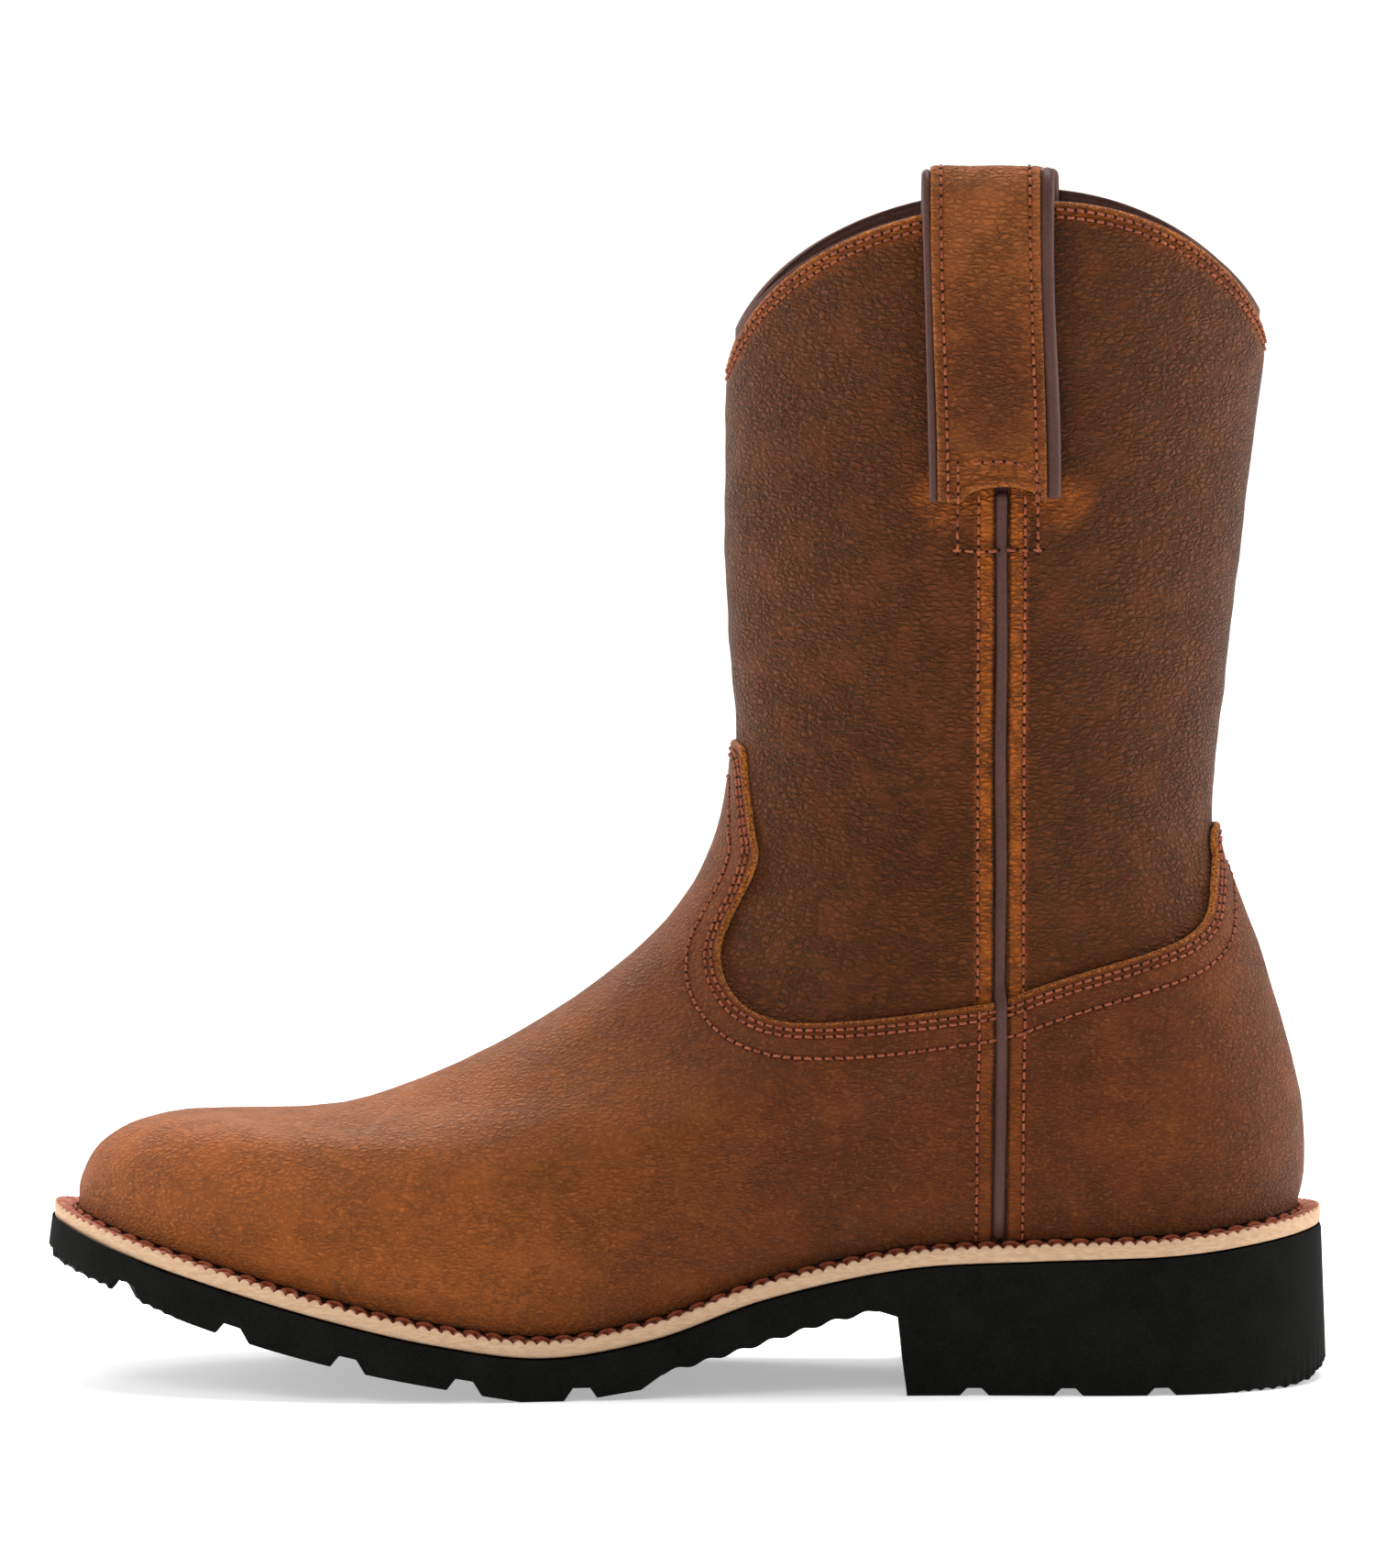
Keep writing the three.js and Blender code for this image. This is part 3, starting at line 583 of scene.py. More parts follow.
def between_seams(height_of, offset, front, x=None, count=400):
    """A line at a drawn height, from the outer seam round the front or the back to the inner seam."""
    x = x or (SEAM_FRONT if front else SEAM_BACK)
    angle = 1.6
    for _ in range(8):
        v = ring_line(np.array([angle]), height_of, offset)[0, 1]
        angle = float(seam_angle(np.array(v), x))
    last_angle = 2 * np.pi - angle if front else -angle
    return ring_line(np.linspace(angle, last_angle, count), height_of, offset)


# %% [markdown]
# ## One sheet of leather
#
# Every panel of the upper is made the same way. Rows of points run from its lower line to its cut edge. They
# lie close together near the edge, where the surface dips along each row of stitches and rounds off into the
# cut. A second face lies under the first, and a narrow rim of raw leather joins the two, so that each panel
# is a closed solid with a real thickness. Each point also stores how far it is from the cut edge and from the
# side seam, which the finishes use.

# %% Meshes and attributes
def waves(p, size, seed):
    """Soft unevenness: a few crossing waves with fixed random directions, between about -1 and 1."""
    rng = np.random.default_rng(seed)
    total = np.zeros(p.shape[:-1])
    for _ in range(9):
        direction = rng.normal(size=3)
        direction *= 2 * np.pi / (size * rng.uniform(0.6, 1.6) * np.linalg.norm(direction))
        total += np.sin(p @ direction + rng.uniform(0, 2 * np.pi))
    return total / 4


def nearest(points, line):
    """Distance of each point to a dense line of points."""
    tree = kdtree.KDTree(len(line))
    for i, p in enumerate(line):
        tree.insert(p, i)
    tree.balance()
    flat = points.reshape(-1, 3)
    return np.array([tree.find(p)[2] for p in flat]).reshape(points.shape[:-1])


def dense(line, step=0.4):
    far = lengths_along(line)
    return read_at(np.arange(0, far[-1], step), far, line)


def grid_faces(rows, columns, first=0, wrap=False):
    r, c = np.meshgrid(np.arange(rows - 1), np.arange(columns if wrap else columns - 1), indexing="ij")
    right = (c + 1) % columns
    quads = [r * columns + c, r * columns + right, (r + 1) * columns + right, (r + 1) * columns + c]
    return first + np.stack(quads, axis=-1).reshape(-1, 4)


def volume(points, faces):
    a, b, c, d = (points[faces[:, k]] for k in range(4))
    return (np.einsum("ij,ij->", a, np.cross(b, c)) + np.einsum("ij,ij->", a, np.cross(c, d))) / 6


def add_piece(name, points, faces, material, marks=None, body=BODY):
    """A finished object from points in millimetres; faces are turned outwards by the volume's sign."""
    points, faces = np.asarray(points, float), np.asarray(faces, int)
    if volume(points, faces) < 0:
        faces = faces[:, ::-1]
    mesh = bpy.data.meshes.new(name)
    mesh.from_pydata((points * MM).tolist(), [], [tuple(dict.fromkeys(f)) for f in faces.tolist()])
    mesh.materials.append(material)
    for mark, values in (marks or {}).items():
        layer = mesh.attributes.new(mark, "FLOAT", "POINT")
        layer.data.foreach_set("value", np.asarray(values, float))
    mesh.polygons.foreach_set("use_smooth", np.ones(len(mesh.polygons), bool))
    mesh.update()
    piece = bpy.data.objects.new(name, mesh)
    scene.collection.objects.link(piece)
    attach(piece, body)
    return piece


# %% Sheets with a front, a back and a raw rim
def sheet_piece(name, top, under, marks, material, node):
    """top and under are grids of points; marks are grids of values for the top face."""
    rows, columns = top.shape[:2]
    count = rows * columns
    index = np.arange(count).reshape(rows, columns)
    border = np.concatenate([index[0], index[1:, -1], index[-1, -2::-1], index[-2:0:-1, 0]])
    inside = np.concatenate([index[1], index[1:, -2], index[-2, -2::-1], index[-2:0:-1, 1]])
    top, under = top.reshape(-1, 3), under.reshape(-1, 3)
    out = top[border] - top[inside]
    out /= np.maximum(np.linalg.norm(out, axis=1, keepdims=True), 1e-9)
    rims = [top[border] * (1 - k) + under[border] * k + out * 0.12 for k in (0.25, 0.75)]
    points = np.concatenate([top, under, *rims])
    first, turn = 2 * count, len(border)
    loops = [border, np.arange(turn) + first, np.arange(turn) + first + turn, border + count]
    faces = [grid_faces(rows, columns), grid_faces(rows, columns, count)[:, ::-1]]
    for a, b in zip(loops, loops[1:]):
        faces.append(np.stack([a, b, np.roll(b, -1), np.roll(a, -1)], axis=-1))
    values = {}
    for key, grid in marks.items():
        far = 0.0 if key == "sewn" else 60.0
        values[key] = np.concatenate([grid.ravel(), np.full(count, far), np.zeros(2 * turn)])
    values["rim"] = np.concatenate([np.zeros(2 * count), np.ones(2 * turn)])
    values["rim"][border] = 0.4
    values["under"] = np.concatenate([np.zeros(count), np.ones(count), np.zeros(2 * turn)])
    made = add_piece(name, points, np.concatenate(faces), material, values)
    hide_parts(node)
    print(name, "has", len(made.data.polygons), "faces")


# %% The panel
ROW_STEP = 0.5
COLUMN_STEP = 1.1
FINE_REACH = 11
SEAM_REACH = 8


def row_distances(length, rows):
    fine = np.arange(0, FINE_REACH, ROW_STEP) * min(1, length * 0.7 / FINE_REACH)
    rest = np.linspace(0, 1, rows + 1)[1:]
    return np.concatenate([fine, fine[-1] + (length - fine[-1]) * rest])


def at_columns(line, offset, middle):
    """Points of a line: close together beside the seam at each end, and evenly spread between."""
    far = lengths_along(layer_point(line[:, 0], line[:, 1], offset))
    if middle is None:
        middle = int((far[-1] - 2 * SEAM_REACH) / COLUMN_STEP)
    ends = np.arange(0, SEAM_REACH, 0.4)
    places = np.linspace(SEAM_REACH, far[-1] - SEAM_REACH, middle)
    at = np.concatenate([ends, places, far[-1] - ends[::-1]])
    return read_at(at, far, line), middle


class Panel:
    """A sheet between two lines of (angle, v), both running from the outer seam to the inner seam."""

    def __init__(self, edge, base, outer, inner, seam_x, rows=60, stitches=(), seam_stitches=(), puff=None):
        edge, middle = at_columns(edge, outer, None)
        base, _ = at_columns(base, outer, middle)
        length = np.linalg.norm(layer_point(*edge.T, outer) - layer_point(*base.T, outer), axis=1)
        share = np.stack([row_distances(far, rows) / far for far in length], axis=1)
        self.angle = edge[None, :, 0] + (base - edge)[None, :, 0] * share
        self.v = edge[None, :, 1] + (base - edge)[None, :, 1] * share
        self.follow_seam(seam_x)
        self.outer = outer
        flat = layer_point(self.angle, self.v, outer)
        self.edge_mm = nearest(flat, dense(flat[0]))
        self.seam_mm = nearest(flat, np.concatenate([dense(flat[:, 0]), dense(flat[:, -1])]))
        self.sewn = np.zeros_like(self.edge_mm)
        for distances, sewn_rows in ((self.edge_mm, stitches), (self.seam_mm, seam_stitches)):
            for row in sewn_rows:
                self.sewn = np.maximum(self.sewn, np.exp(-(((distances - row) / 0.65) ** 2)))
        lift = -0.32 * self.sewn
        rim = np.minimum(self.edge_mm, self.seam_mm)
        lift -= 0.5 * np.clip(1 - rim / 0.9, 0, 1) ** 2
        if puff is not None:
            lift += puff(flat, self)
        self.lift = lift
        self.points = layer_point(self.angle, self.v, outer + lift)
        self.under = layer_point(self.angle, self.v, inner)

    def follow_seam(self, x):
        """Turns the columns near each end so that the ends run down a drawn seam."""
        across = np.linspace(0, 1, self.angle.shape[1])
        for end, fade in ((0, (1 - across) ** 4), (-1, across**4)):
            along = self.angle[:, end]
            turns = np.round(along / np.pi / 2 + 1e-9) * 2 * np.pi
            wanted = seam_angle(self.v[:, end], x)
            wanted = turns + np.sign(along - turns) * wanted
            self.angle = self.angle + fade[None, :] * (wanted - along)[:, None]

    def piece(self, name, material, slot, node):
        marks = {"edge_mm": self.edge_mm, "seam_mm": self.seam_mm, "sewn": self.sewn}
        sheet_piece(name, self.points, self.under, marks, material, node)

    def row(self, distance, start=0.0, stop=1.0, lift=0.0):
        """A line on the panel at a distance from its cut edge, and the outward directions along it."""
        columns = self.angle.shape[1]
        at = []
        rows = np.arange(len(self.edge_mm))
        for c in range(int(start * columns), int(stop * columns)):
            reach = np.argmax(self.edge_mm[:, c] > distance + 1.5) or len(self.edge_mm)
            r = np.interp(distance, self.edge_mm[:reach, c], np.arange(reach))
            at.append([np.interp(r, rows, grid[:, c]) for grid in (self.angle, self.v, self.lift)])
        return self.line(np.array(at), lift)

    def seam_row(self, distance, side, low, high, lift=0.0):
        """A line at a distance from the seam on one side, between two heights."""
        order = slice(None) if side > 0 else slice(None, None, -1)
        at = []
        columns = np.arange(self.angle.shape[1])
        for r, d in enumerate(self.seam_mm[:, order]):
            reach = np.argmax(d > distance + 3) or len(d)
            c = np.interp(distance, d[:reach], np.arange(reach))
            at.append([np.interp(c, columns, grid[r, order]) for grid in (self.angle, self.v, self.lift)])
        line, up = self.line(np.array(at), lift)
        keep = (line[:, 2] > low) & (line[:, 2] < high)
        return line[keep], up[keep]

    def line(self, at, lift):
        at = np.array([at[max(i - 2, 0) : i + 3].mean(axis=0) for i in range(len(at))])
        angle, v, own = at.T
        return layer_point(angle, v, self.outer + own + 0.3 + lift), last_normal(angle, v)


# %% [markdown]
# ## Finishes
#
# Oiled leather isn't one colour. Shade is painted into it as darker colour: in its pores and creases, in the
# groove along each row of stitches and by the seams, and beside the pull strap. Light from above is painted
# onto the toe as a paler, more golden colour. It is redder where heat and wax have burnished it along a row
# of stitches. The cut edge shows the pale core. Each of those is a mask, and the colour is one mix after another.

# %% Leather
FOOT_TRIM = 1.5
STRAP_DROP_OUTER = 72.8
STRAP_FOOT = COLLAR_HEIGHT - STRAP_DROP_OUTER + FOOT_TRIM


def leather(
    name, body, dark, pale, burnish, raw, pebble, toe=None, top=None, rub_and_shade=None,
    pores=0.6, specks=0.5, warm=0.5, nap=0.65, shine=0.1, depth=0.7,
):
    """Oiled leather: pebbles split by fine creases, sandy specks, soft clouds, burnished seams, a raw rim, painted
    shade in the creases, stitch grooves, by the seams and beside the strap, and painted light on the toe.
    """
    sheen = {"Sheen_Weight": shine, "Sheen_Roughness": 0.4, "Sheen_Tint": (1, 0.7 + shine * 0.4, 0.5 + shine * 0.7, 1)}
    skin = Finish(name, 0.6, 0.14, Specular_Tint=(1, 0.74, 0.54, 1), **sheen)
    edge, seam, rim, under, sewn = (skin.mask(m) for m in ("edge_mm", "seam_mm", "rim", "under", "sewn"))
    body_tone, dark_tone = body, tuple(c * 0.4 for c in dark)
    clouds = skin.noise(34, 3, 0.5)
    mottle = skin.noise(6, 4, 0.6)
    sand = skin.noise(0.95, 3, 0.7)
    warp = skin.node("ShaderNodeTexNoise", {}, {"Vector": skin.place, "Scale": 0.4, "Detail": 3}, 1)
    warp = skin.node("ShaderNodeVectorMath", {"operation": "SCALE"}, {0: warp, "Scale": 1.5})
    bent = skin.node("ShaderNodeVectorMath", {"operation": "ADD"}, {0: skin.stretched(0.58, 0.8, 1.3), 1: warp})
    gap = skin.cells(pebble, "DISTANCE_TO_EDGE", bent)
    strength = skin.noise(9, 2).step(0.3, 0.6) * 0.5 + 0.5
    crease = gap.step(0.2, 0.03) * strength * pores
    long_crease = (skin.noise(1, 3, 0.6, skin.stretched(1 / 5, 1 / 5, 1 / 1.7)) - 0.5).size().step(0.04, 0.005)
    long_crease = long_crease * skin.noise(10, 2).step(0.36, 0.58) * pores

    # Painted light: the toe is painted paler and more golden where the light from above falls on it; the back of the
    # foot is mixed a little towards the same colour.
    if toe:
        body = skin.mix(skin.x.step(45, -115), body, toe)
        body = skin.mix(skin.x.step(70, 105) * 0.16, body, toe)
        dark = skin.mix(skin.x.step(45, -115), dark, tuple(c * 0.7 for c in toe))
        pale = skin.mix(skin.x.step(45, -115), pale, tuple(c * 1.5 for c in toe))
    if top:
        body = skin.mix(skin.z.step(246, 290), body, top)
        dark = skin.mix(skin.z.step(246, 290), dark, tuple(c * 0.72 for c in top))
    colour = skin.mix(clouds.step(0.3, 0.7), dark, body)
    colour = skin.mix(mottle.step(0.5, 0.75) * 0.22, colour, pale)
    colour = skin.mix(sand.step(0.52, 0.7) * specks, colour, pale)
    colour = skin.mix(sand.step(0.46, 0.3) * specks * 0.9, colour, dark)
    worn = skin.noise(4, 3, 0.6).step(0.25, 0.7) * 0.6 + 0.4
    colour = skin.mix(edge.step(7, 1.5) * worn * warm, colour, burnish)
    colour = skin.mix(seam.step(5.4, 3.6) * worn, colour, burnish)
    # The fourth value of this tuple sets the painted shade beside the strap; the spot of burnish below the strap's foot
    # is wear.
    if rub_and_shade:
        across, height, reach, beside_shade = rub_and_shade
        aside, above = (skin.x - across).size() - reach, skin.z - height
        colour = skin.mix((aside * aside + above * above).step(90, 3) * worn * 0.75, colour, burnish)
        # Painted shade: a darker band beside the strap, where the strap stands over the shaft and shades it.
        colour = skin.mix(aside.step(6.5, 0.5) * above.step(-1, 8) * beside_shade, colour, dark_tone)
    # Painted shade: pores, creases and long creases are darkened towards this deep tone, as shade falls in them.
    shade = tuple(c * 0.16 for c in body_tone)
    colour = skin.mix((crease * 0.5).most(long_crease * 0.6), colour, shade)
    # Painted shade: darker colour in the groove pressed along each row of stitches.
    colour = skin.mix(sewn.step(0.2, 0.9) * 0.7, colour, tuple(c * 0.4 for c in burnish))
    # Painted shade: darker colour in the last millimetre by the seam, under the piping.
    colour = skin.mix(seam.step(0.9, 0.1) * 0.8, colour, shade)
    fibre = skin.noise(0.6, 3, 0.75)
    core = skin.mix(fibre.step(0.42, 0.6), tuple(c * 0.3 for c in raw), raw)
    frayed = edge.step(0.9, 0.3) * fibre.step(0.45, 0.56) * nap
    colour = skin.mix(rim.step(0.3, 0.75).most(frayed), colour, core)
    colour = skin.mix(under.step(0.5, 0.9), colour, (0.3, 0.17, 0.09))
    height = gap.step(0.0, 0.34) * strength * pores + sand * 0.35 - long_crease * 0.7
    return skin.finish(colour, height, depth, mottle * 0.15 + sand * 0.15 + 0.43)


foot_leather = leather(
    "foot_leather",
    body=(0.122, 0.03, 0.0073),
    dark=(0.085, 0.0205, 0.0058),
    pale=(0.22, 0.07, 0.0175),
    burnish=(0.19, 0.046, 0.0092),
    raw=(0.66, 0.21, 0.038),
    pebble=1.3,
    toe=(0.33, 0.092, 0.0185),
    pores=0.5,
    specks=0.7,
    shine=0.12,
)
shaft_leather = leather(
    "shaft_leather",
    body=(0.112, 0.0295, 0.0075),
    dark=(0.091, 0.0232, 0.0063),
    pale=(0.17, 0.05, 0.0125),
    burnish=(0.41, 0.103, 0.0145),
    raw=(0.66, 0.21, 0.045),
    pebble=1.6,
    # Burnish below the strap's foot, and painted shade in a band beside the strap.
    rub_and_shade=(SEAM_X, STRAP_FOOT, 14, 0.5),
    pores=0.95,
    specks=0.3,
    warm=0.75,
)
strap_leather = leather(
    "strap_leather",
    body=(0.185, 0.051, 0.013),
    dark=(0.12, 0.031, 0.0088),
    pale=(0.3, 0.1, 0.027),
    burnish=(0.3, 0.08, 0.015),
    raw=(0.5, 0.17, 0.035),
    pebble=1.5,
    nap=0.45,
    top=(0.3, 0.09, 0.024),
    rub_and_shade=(SEAM_X, STRAP_FOOT + 6, 4, 0),
    pores=0.8,
    specks=0.4,
    warm=0.4,
)


# %% Trim, linings, thread, rubber and the hidden stiffeners
def simple_finish(name, dark, light, grain, rough, depth=0.15, specular=0.4, stretch=None, **constants):
    """A finish of two close colours over a noise of one grain, with a matching bump."""
    skin = Finish(name, rough, specular, **constants)
    place = skin.stretched(*stretch) if stretch else None
    grain_signal = skin.noise(grain, 4, 0.6, place)
    clouds = skin.noise(grain * 14, 2)
    colour = skin.mix((grain_signal * 0.7 + clouds * 0.3).step(0.32, 0.68), dark, light)
    return skin.finish(colour, grain_signal, depth, grain_signal * 0.2 + (rough - 0.1))


trim_leather = simple_finish("trim_leather", (0.055, 0.022, 0.017), (0.09, 0.038, 0.029), 0.8, 0.5, 0.08, 0.2)
lining_leather = simple_finish("lining_leather", (0.07, 0.03, 0.023), (0.11, 0.05, 0.038), 1.1, 0.7, 0.12, 0.15)
foot_textile = simple_finish("foot_textile", (0.3, 0.2, 0.13), (0.46, 0.33, 0.22), 0.9, 0.9)
thread_finish = simple_finish("thread", (0.09, 0.018, 0.009), (0.44, 0.125, 0.052), 0.4, 0.7, 0.1, 0.2)
welt_thread = simple_finish("welt_thread", (0.15, 0.03, 0.012), (0.42, 0.1, 0.036), 0.4, 0.7, 0.15, 0.2)
# Painted shade: near-black for the insides of the needle holes.
hole_shade = simple_finish("needle_hole_shade", (0.01, 0.004, 0.003), (0.03, 0.01, 0.006), 0.3, 0.9, 0.1, 0.1)
rubber = simple_finish("outsole_rubber", (0.003, 0.003, 0.0026), (0.008, 0.008, 0.007), 0.6, 0.85, 0.08, 0.06)
edging_rubber = simple_finish("edging_rubber", (0.02, 0.02, 0.02), (0.04, 0.04, 0.04), 0.5, 0.7)
fibre_board = simple_finish("fibre_board", (0.25, 0.17, 0.1), (0.4, 0.3, 0.2), 0.6, 0.9)
cork = simple_finish("cork", (0.2, 0.1, 0.045), (0.42, 0.25, 0.13), 1.6, 0.95, 0.4)
steel = simple_finish("steel", (0.38, 0.39, 0.4), (0.5, 0.51, 0.52), 0.4, 0.35, 0.03, 0.5, (1, 8, 1), Metallic=0.9)
stiffener = simple_finish("stiffener", (0.5, 0.47, 0.4), (0.62, 0.58, 0.5), 0.5, 0.7)
canvas = simple_finish("canvas", (0.3, 0.22, 0.14), (0.45, 0.35, 0.25), 0.5, 0.9)


def footbed_finish():
    """A knitted cover on the top of a foam bed; the foam shows at the sides."""
    skin = Finish("footbed_fabric", 0.9, 0.2)
    knit = (skin.x * 2.4).fract().step(0.2, 0.8) * (skin.y * 3.2).fract().step(0.15, 0.7)
    cover = skin.mask("cover")
    fabric = skin.mix(knit * 0.8 + skin.noise(3) * 0.3, (0.1, 0.085, 0.075), (0.3, 0.25, 0.21))
    foam = skin.mix(skin.noise(0.8, 3), (0.02, 0.02, 0.022), (0.05, 0.05, 0.055))
    return skin.finish(skin.mix(cover, foam, fabric), knit * cover + skin.noise(0.8) * 0.3, 0.2)


def welt_finish():
    """Tan leather at the edge, stained mauve on top by the dressing that the wheel pressed in."""
    skin = Finish("welt_leather", 0.7, 0.2)
    top = skin.mask("top")
    mark = skin.mask("mark")
    fibres = skin.noise(1, 3, 0.6, skin.stretched(1 / 2.6, 1 / 2.6, 1 / 0.45))
    edge = skin.mix(fibres.step(0.3, 0.7), (0.5, 0.31, 0.185), (0.62, 0.42, 0.27))
    stained = skin.mix(skin.noise(2.2, 3).step(0.35, 0.65), (0.3, 0.068, 0.03), (0.46, 0.2, 0.14))
    stained = skin.mix(mark.step(0.15, 0.7), stained, (0.17, 0.034, 0.014))
    colour = skin.mix(top.step(0.35, 0.8), edge, stained)
    return skin.finish(colour, fibres * 0.6 + skin.noise(0.6, 2), 0.12)


welt_leather = welt_finish()
footbed_fabric = footbed_finish()

# %% Finishes of the hidden pieces, which keep the shapes of the model
HIDDEN = {
    "insole_board": fibre_board,
    "insole_rib": canvas,
    "cork_filler": cork,
    "heel_filler": cork,
    "steel_shank": steel,
    "steel_toe_cap": steel,
    "toe_cap_edging": edging_rubber,
    "vamp_doubler": canvas,
    "heel_stiffener": stiffener,
}
for node, material in HIDDEN.items():
    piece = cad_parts[node]
    piece.data.materials.clear()
    piece.data.materials.append(material)
print("hidden pieces finished:", len(HIDDEN))

# %% [markdown]
# ## Rows of stitches
#
# A stitch is one bent thread that dives into a hole at each end. There are well over a thousand of them, so
# Geometry Nodes lays them: a guide line becomes a curve, the curve is cut into equal steps, and one small
# thread sits at each step, turned along the curve and square to the leather. Small dark pieces are laid by
# the same tree, half a step further on, as painted shade in the needle holes.

# %% The stitch tree
def stitch_tree():
    tree = bpy.data.node_groups.new("stitch_row", "GeometryNodeTree")
    face = tree.interface
    face.new_socket("Geometry", in_out="INPUT", socket_type="NodeSocketGeometry")
    for name in ("Pitch", "Length", "Thickness", "Rise", "Sink", "Shift", "Unevenness"):
        face.new_socket(name, in_out="INPUT", socket_type="NodeSocketFloat")
    face.new_socket("Seed", in_out="INPUT", socket_type="NodeSocketInt")
    face.new_socket("Material", in_out="INPUT", socket_type="NodeSocketMaterial")
    face.new_socket("Geometry", in_out="OUTPUT", socket_type="NodeSocketGeometry")
    given = tree.nodes.new("NodeGroupInput")

    def put(kind, settings, values, output=0):
        node = tree.nodes.new(kind)
        for key, value in settings.items():
            setattr(node, key, value)
        for slot, value in values.items():
            if isinstance(value, bpy.types.NodeSocket):
                tree.links.new(value, node.inputs[slot])
            else:
                node.inputs[slot].default_value = value
        return node.outputs[output]

    def total(a, b, operation="ADD"):
        return put("ShaderNodeMath", {"operation": operation}, {0: a, 1: b})

    def vector(x, z):
        return put("ShaderNodeCombineXYZ", {}, {"X": x, "Z": z})

    curve = put("GeometryNodeMeshToCurve", {}, {"Mesh": given.outputs["Geometry"]})
    points = put("GeometryNodeResampleCurve", {"mode": "LENGTH"}, {"Curve": curve, "Length": given.outputs["Pitch"]})
    half = total(given.outputs["Length"], 0.5, "MULTIPLY")
    shift, sink = given.outputs["Shift"], total(0.0, given.outputs["Sink"], "SUBTRACT")
    bend = put(
        "GeometryNodeCurveQuadraticBezier",
        {},
        {
            "Resolution": 4,
            "Start": vector(total(shift, half, "SUBTRACT"), sink),
            "Middle": vector(shift, given.outputs["Rise"]),
            "End": vector(total(shift, half), sink),
        },
    )
    ring = put(
        "GeometryNodeCurvePrimitiveCircle",
        {"mode": "RADIUS"},
        {"Resolution": 6, "Radius": total(given.outputs["Thickness"], 0.5, "MULTIPLY")},
    )
    thread = put("GeometryNodeCurveToMesh", {}, {"Curve": bend, "Profile Curve": ring, "Fill Caps": True})
    up = put("GeometryNodeInputNamedAttribute", {"data_type": "FLOAT_VECTOR"}, {"Name": "up"})
    wander = put(
        "FunctionNodeRandomValue",
        {"data_type": "FLOAT_VECTOR"},
        {0: (-1, -1, -1), 1: (1, 1, 1), "Seed": given.outputs["Seed"]},
    )
    drift = put("ShaderNodeVectorMath", {"operation": "SCALE"}, {0: wander, "Scale": given.outputs["Unevenness"]})
    tangent = put("GeometryNodeInputTangent", {}, {})
    ahead = put("ShaderNodeVectorMath", {"operation": "ADD"}, {0: tangent, 1: drift})
    turned = put("FunctionNodeAlignRotationToVector", {"axis": "X"}, {"Vector": ahead})
    turned = put(
        "FunctionNodeAlignRotationToVector", {"axis": "Z", "pivot_axis": "X"}, {"Rotation": turned, "Vector": up}
    )
    laid = put("GeometryNodeInstanceOnPoints", {}, {"Points": points, "Instance": thread, "Rotation": turned})
    real = put("GeometryNodeRealizeInstances", {}, {"Geometry": laid})
    smooth = put("GeometryNodeSetShadeSmooth", {}, {"Geometry": real})
    done = put("GeometryNodeSetMaterial", {}, {"Geometry": smooth, "Material": given.outputs["Material"]})
    result = tree.nodes.new("NodeGroupOutput")
    tree.links.new(done, result.inputs[0])
    return tree


STITCH_TREE = stitch_tree()


def run_tree(name, guide, tree, **values):
    """Runs a tree on a guide and keeps the result as a plain mesh."""
    modifier = guide.modifiers.new("rule", "NODES")
    modifier.node_group = tree
    sockets = {item.name: item.identifier for item in tree.interface.items_tree if item.in_out == "INPUT"}
    for key, value in values.items():
        modifier[sockets[key]] = value
    bpy.context.view_layer.update()
    graph = bpy.context.evaluated_depsgraph_get()
    mesh = bpy.data.meshes.new_from_object(guide.evaluated_get(graph), depsgraph=graph)
    guide.modifiers.remove(modifier)
    piece = bpy.data.objects.new(name, mesh)
    scene.collection.objects.link(piece)
    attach(piece, BODY)
    return piece


def guide_of(rows, closed=False):
    points = np.concatenate([line for line, _ in rows]) * MM
    ups = np.concatenate([up for _, up in rows])
    edges, first = [], 0
    for line, _ in rows:
        edges += [(first + i, first + i + 1) for i in range(len(line) - 1)]
        if closed:
            edges.append((first + len(line) - 1, first))
        first += len(line)
    mesh = bpy.data.meshes.new("guide")
    mesh.from_pydata(points.tolist(), edges, [])
    layer = mesh.attributes.new("up", "FLOAT_VECTOR", "POINT")
    layer.data.foreach_set("vector", ups.ravel())
    guide = bpy.data.objects.new("guide", mesh)
    scene.collection.objects.link(guide)
    return guide


def sew(name, rows, seed, pitch=2.5, thick=0.74, material=thread_finish, closed=False):
    """Threads, and dark pieces painting the shade in the needle holes, along guide lines; rows hold (points, outward
    directions).
    """
    guide = guide_of(rows, closed)
    sizes = {"Pitch": pitch * MM, "Seed": seed}
    thread = run_tree(
        name,
        guide,
        STITCH_TREE,
        Length=pitch * 0.76 * MM,
        Thickness=thick * MM,
        Rise=thick * 0.5 * MM,
        Sink=thick * 0.5 * MM,
        Shift=0.0,
        Unevenness=0.07,
        Material=material,
        **sizes,
    )
    # Painted shade: a small dark piece sunk into each needle hole stands in for the shade inside it.
    dots = run_tree(
        name + "_holes",
        guide,
        STITCH_TREE,
        Length=pitch * 0.3 * MM,
        Thickness=thick * 1.0 * MM,
        Rise=-thick * 0.3 * MM,
        Sink=thick * 0.42 * MM,
        Shift=pitch * 0.5 * MM,
        Unevenness=0.0,
        Material=hole_shade,
        **sizes,
    )
    bpy.data.objects.remove(guide)
    print(name, "has", len(thread.data.polygons) + len(dots.data.polygons), "faces")


# %% [markdown]
# ## The upper
#
# The vamp and the counter lie over the foot of the shaft. The shaft is two pieces, front and back, which
# meet in a side seam. Each piece is cut with the panel rule above: the cut edge is its pattern line and the
# base is where it goes under the next layer or under the welt.

